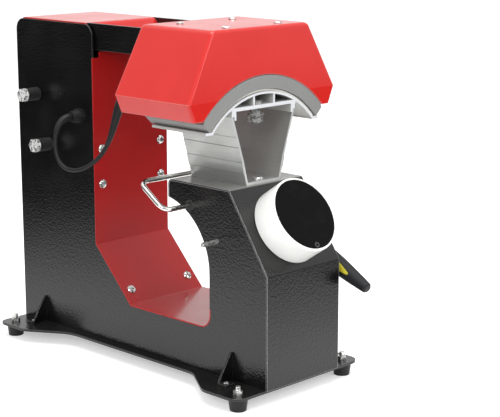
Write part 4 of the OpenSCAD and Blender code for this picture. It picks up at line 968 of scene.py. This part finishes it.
@dataclass
class CapPad:
    """The silicone pad that lies bent over the saddle."""

    inner: float = 109.7
    thickness: float = 3.0
    half_angle: float = 48.7
    depth: tuple[float, float] = (64.6, 151.5)
    arc_z: float = 217.0
    edge: float = 1.4
    pull: float = 0.8
    around: int = 96
    along: int = 56

    @staticmethod
    def spread(count: int) -> list[float]:
        """Places from -1 to 1 that are closer together at the ends."""
        return [math.sin(math.pi / 2 * math.sin(math.pi / 2 * (2 * k / count - 1))) for k in range(count + 1)]

    def swell(self, to_edge: float) -> float:
        """The share of the full thickness at a distance from the nearest edge, in millimetres."""
        share = min(max(to_edge / self.edge, 0.0), 1.0)
        return math.sqrt(1 - (1 - share) ** 2)

    def build(self, looks: dict[str, bpy.types.Material]) -> list[bpy.types.Object]:
        """Makes the pad, which is thin at its rounded rim, full in its middle and drawn in between its corners.

        Args:
            looks: the materials by name.

        Returns:
            The pad.
        """
        middle_r = self.inner + self.thickness / 2
        half_arc = math.radians(self.half_angle) * middle_r
        middle_y = sum(self.depth) / 2
        half_y = (self.depth[1] - self.depth[0]) / 2
        columns = self.spread(self.around)
        rows = self.spread(self.along)
        points: list[Vector] = []
        for face in (1, -1):
            for u in columns:
                for v in rows:
                    arc = u * (half_arc - self.pull * (1 - v * v))
                    y = v * (half_y - self.pull * (1 - u * u))
                    to_edge = min(half_arc - abs(arc) - self.pull * (1 - v * v) * abs(u), half_y - abs(y)
                                  - self.pull * (1 - u * u) * abs(v))
                    r = middle_r + face * self.thickness / 2 * self.swell(to_edge)
                    turn = arc / middle_r
                    points.append(at(r * math.sin(turn), middle_y + y, self.arc_z + r * math.cos(turn)))
        width = len(rows)
        layer = len(columns) * width
        faces: list[list[int]] = []
        for i in range(len(columns) - 1):
            for j in range(width - 1):
                a, b = i * width + j, (i + 1) * width + j
                faces.append([a, b, b + 1, a + 1])
                faces.append([layer + a, layer + a + 1, layer + b + 1, layer + b])
        pad = mesh_object("cap_pad_sponge", points, faces, looks["silicone_pad"])
        form = bmesh.new()
        form.from_mesh(pad.data)
        bmesh.ops.remove_doubles(form, verts=form.verts, dist=1e-6)
        bmesh.ops.recalc_face_normals(form, faces=form.faces)
        form.to_mesh(pad.data)
        form.free()
        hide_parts("cap_pad")
        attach(pad, Body.FRAME.value)
        return [pad]


@dataclass
class PowerMark:
    """The faint touch key on the dark glass: an open ring with a bar, low on the right."""

    right: float = -2.5
    below: float = 37.5
    radius: float = 2.6
    line: float = 0.28
    gap: float = 38.0
    lift: float = 0.05
    arc_steps: int = 30
    bar_start: float = 0.4
    bar_rise: float = 0.8
    front_faces: int = 40
    same_way: float = 0.99

    def build(self, looks: dict[str, bpy.types.Material]) -> list[bpy.types.Object]:
        """Makes the key's ring and bar on the glass's front face.

        Args:
            looks: the materials by name.

        Returns:
            The mark.
        """
        glass = bpy.data.objects["control_glass"]
        face = max(glass.data.polygons, key=lambda one: one.area)
        front = sorted(glass.data.polygons, key=lambda one: -one.area)[:self.front_faces]
        normal = sum((one.normal * one.area for one in front if one.normal.dot(face.normal) > self.same_way),
                     Vector())
        if normal.y > 0:
            normal.negate()
        normal.normalize()
        right = Vector((1.0, 0.0, 0.0))
        up = normal.cross(right)
        reach = max(v.co.dot(normal) for v in glass.data.vertices)
        low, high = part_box("control_glass")
        middle = (low + high) / 2
        middle = middle + normal * (reach - middle.dot(normal) + self.lift * MM)
        heart = middle + right * self.right * MM - up * self.below * MM
        points: list[Vector] = []
        faces: list[list[int]] = []

        def strip(line: Sequence[tuple[float, float]], half: float) -> None:
            """Adds a flat line of the given half width through points on the glass, in millimetres."""
            first = len(points)
            for k, spot in enumerate(line):
                a = Vector(line[max(k - 1, 0)])
                b = Vector(line[min(k + 1, len(line) - 1)])
                along = (b - a).normalized()
                across = Vector((-along.y, along.x)) * half
                for sign in (1, -1):
                    q = Vector(spot) + across * sign
                    points.append(heart + (right * q.x + up * q.y) * MM)
                if k:
                    n = first + 2 * k
                    faces.append([n - 2, n - 1, n + 1, n])

        arc = [math.radians(90 + self.gap + (360 - 2 * self.gap) * k / self.arc_steps)
               for k in range(self.arc_steps + 1)]
        strip([(self.radius * math.cos(t), self.radius * math.sin(t)) for t in arc], self.line)
        strip([(0.0, self.bar_start), (0.0, self.radius + self.bar_rise)], self.line)
        mark = mesh_object("power_key_mark", points, faces, looks["icon_grey"], smooth=False)
        form = bmesh.new()
        form.from_mesh(mark.data)
        wrong = [one for one in form.faces if one.normal.dot(normal) < 0]
        bmesh.ops.reverse_faces(form, faces=wrong)
        form.to_mesh(mark.data)
        form.free()
        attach(mark, Body.FRAME.value)
        return [mark]


@dataclass
class Studio:
    """A plain pale floor, a white world and soft lamps.

    In gloss the floor is pale near the machine and dark further off, as a table in a room is.
    """

    half: float = 6.0
    sky: float = 0.84
    floor_colour: Colour = (0.80, 0.80, 0.80)
    floor_shade: Colour = (0.76, 0.76, 0.76)
    room: Colour = (0.03, 0.03, 0.03)
    glow: float = 0.42
    table: tuple[float, float] = (0.30, 0.95)
    dark_side: float = 0.85
    gloss_glow: float = 0.35
    floor_drop: float = 0.2 * MM
    lamps: tuple[tuple[str, Point, float, float], ...] = (
        ("lamp_above", (-0.1, -0.2, 2.2), 1.6, 32.0), ("lamp_left", (-2.0, -0.9, 1.2), 0.7, 19.0),
        ("lamp_front", (0.6, -2.2, 1.3), 0.9, 19.0), ("lamp_glint", (-1.45, -1.5, 1.0), 0.12, 2.5))

    def floor(self) -> bpy.types.Object:
        """Makes the floor at the height of the feet.

        Returns:
            The floor, which keeps the machine's shadow.
        """
        g = Surface("studio_floor")
        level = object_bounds()[0][2]
        x, y = g.axis("X"), g.axis("Y")
        near, far = (edge * edge for edge in self.table)
        off = (x * x + y * y).above((near + far) / 2, far - near)
        gloss = g.rays("Is Glossy Ray")
        pale = g.mix(g.noise(0.9, 2.0) * 0.2, self.floor_colour, self.floor_shade)
        g.finish(Base_Color=g.mix(gloss * off, pale, self.room), Roughness=0.9, Specular_IOR_Level=0.0)
        shown = g.rays("Is Camera Ray", "Is Transmission Ray") * self.glow + gloss * (1 - off) * self.gloss_glow
        glow = g.node("ShaderNodeEmission", {}, {"Strength": shown})
        both = g.node("ShaderNodeAddShader", {}, {0: Wire(g, g.surface.outputs[0]), 1: glow})
        g.join(both, g.output.inputs["Surface"])
        corners = [Vector((x * self.half, y * self.half, level - self.floor_drop))
                   for x, y in ((-1, -1), (1, -1), (1, 1), (-1, 1))]
        floor = mesh_object("studio_floor", corners, [[0, 1, 2, 3]], g.material, smooth=False)
        floor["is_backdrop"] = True
        return floor

    def sky_world(self) -> None:
        """Makes the world white where it is seen, soft where it lights, and dark low on the left in gloss."""
        world = bpy.data.worlds.new("studio")
        bpy.context.scene.world = world
        world.use_nodes = True
        g = Graph(world.node_tree)
        way = g.node("ShaderNodeTexCoord", {}, {}, "Generated")
        left = 1 - g.node("ShaderNodeSeparateXYZ", {}, {"Vector": way}, "X").above(-0.35, 0.5)
        low = 1 - g.node("ShaderNodeSeparateXYZ", {}, {"Vector": way}, "Z").above(0.45, 0.5)
        gloss = 1 - left * low * self.dark_side
        seen = g.rays("Is Camera Ray", "Is Transmission Ray")
        shine = g.rays("Is Glossy Ray")
        level = seen + shine * gloss + (1 - (seen + shine).clamp()) * self.sky
        back = g.node("ShaderNodeBackground", {}, {"Color": (1.0, 1.0, 1.0, 1.0), "Strength": level})
        end = g.tree.nodes.new("ShaderNodeOutputWorld")
        g.join(back, end.inputs["Surface"])

    def lamp(self, name: str, place: Point, size: float, power: float, target: Point = (0.0, -0.05, 0.22)) -> None:
        """Makes one soft square lamp.

        Args:
            name: its name.
            place: where it stands, in metres.
            size: its side in metres.
            power: its power in watts.
            target: what it is turned to.
        """
        data = bpy.data.lights.new(name, "AREA")
        data.shape = "SQUARE"
        data.size = size
        data.energy = power
        lamp = bpy.data.objects.new(name, data)
        look = Vector(target) - Vector(place)
        lamp.matrix_world = Matrix.Translation(place) @ look.to_track_quat("-Z", "Y").to_matrix().to_4x4()
        bpy.context.scene.collection.objects.link(lamp)

    def build(self) -> None:
        """Makes the floor, the world and the lamps."""
        self.sky_world()
        self.floor()
        for name, place, size, power in self.lamps:
            self.lamp(name, place, size, power)


@dataclass
class Machine:
    """The whole press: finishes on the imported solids, then the scene's own pieces."""

    looks: dict[str, bpy.types.Material] = field(default_factory=finishes)

    def dress(self, frame: dict[str, Any]) -> None:
        """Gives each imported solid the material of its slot.
        """
        slots = {row["node"]: row["material_slot"] for row in frame["record"]["subparts"]}
        # The stop pin and pivot bolts take the pale chrome finishes with painted reflections; the throat panel takes
        # the shaded red copy.
        special = {"throat_panel": "throat_red_shaded", "nose_cover": "nose_coat", "stop_pin": "chrome_screws",
                   "saddle": "saddle_aluminium", "pivot_bolts": "pivot_chrome"}
        for name, solid in frame["nodes"].items():
            look = self.looks[special.get(name, slots[name])]
            solid.data.materials.clear()
            solid.data.materials.append(look)
            LOG.info("dressed %s in %s", name, look.name)

    def build(self, frame: dict[str, Any]) -> None:
        """Builds every piece in order and reports it.
        """
        self.dress(frame)
        for assembly in (CablePassages(), StandoffSleeves(), CapPad(), PowerMark()):
            for piece in assembly.build(self.looks):
                LOG.info("made %s with %d faces", piece.name, len(piece.data.polygons))


def main() -> None:
    """Builds the scene."""
    logging.basicConfig(level=logging.INFO, format="%(name)s: %(message)s")
    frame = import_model()
    scene = bpy.context.scene
    scene.view_settings.view_transform = "Standard"
    Camera().build()
    machine = Machine()
    for piece in HeadCable().build(machine.looks):
        LOG.info("made %s with %d faces", piece.name, len(piece.data.polygons))
    machine.build(frame)
    Studio().build()


if __name__ == "__main__":
    main()
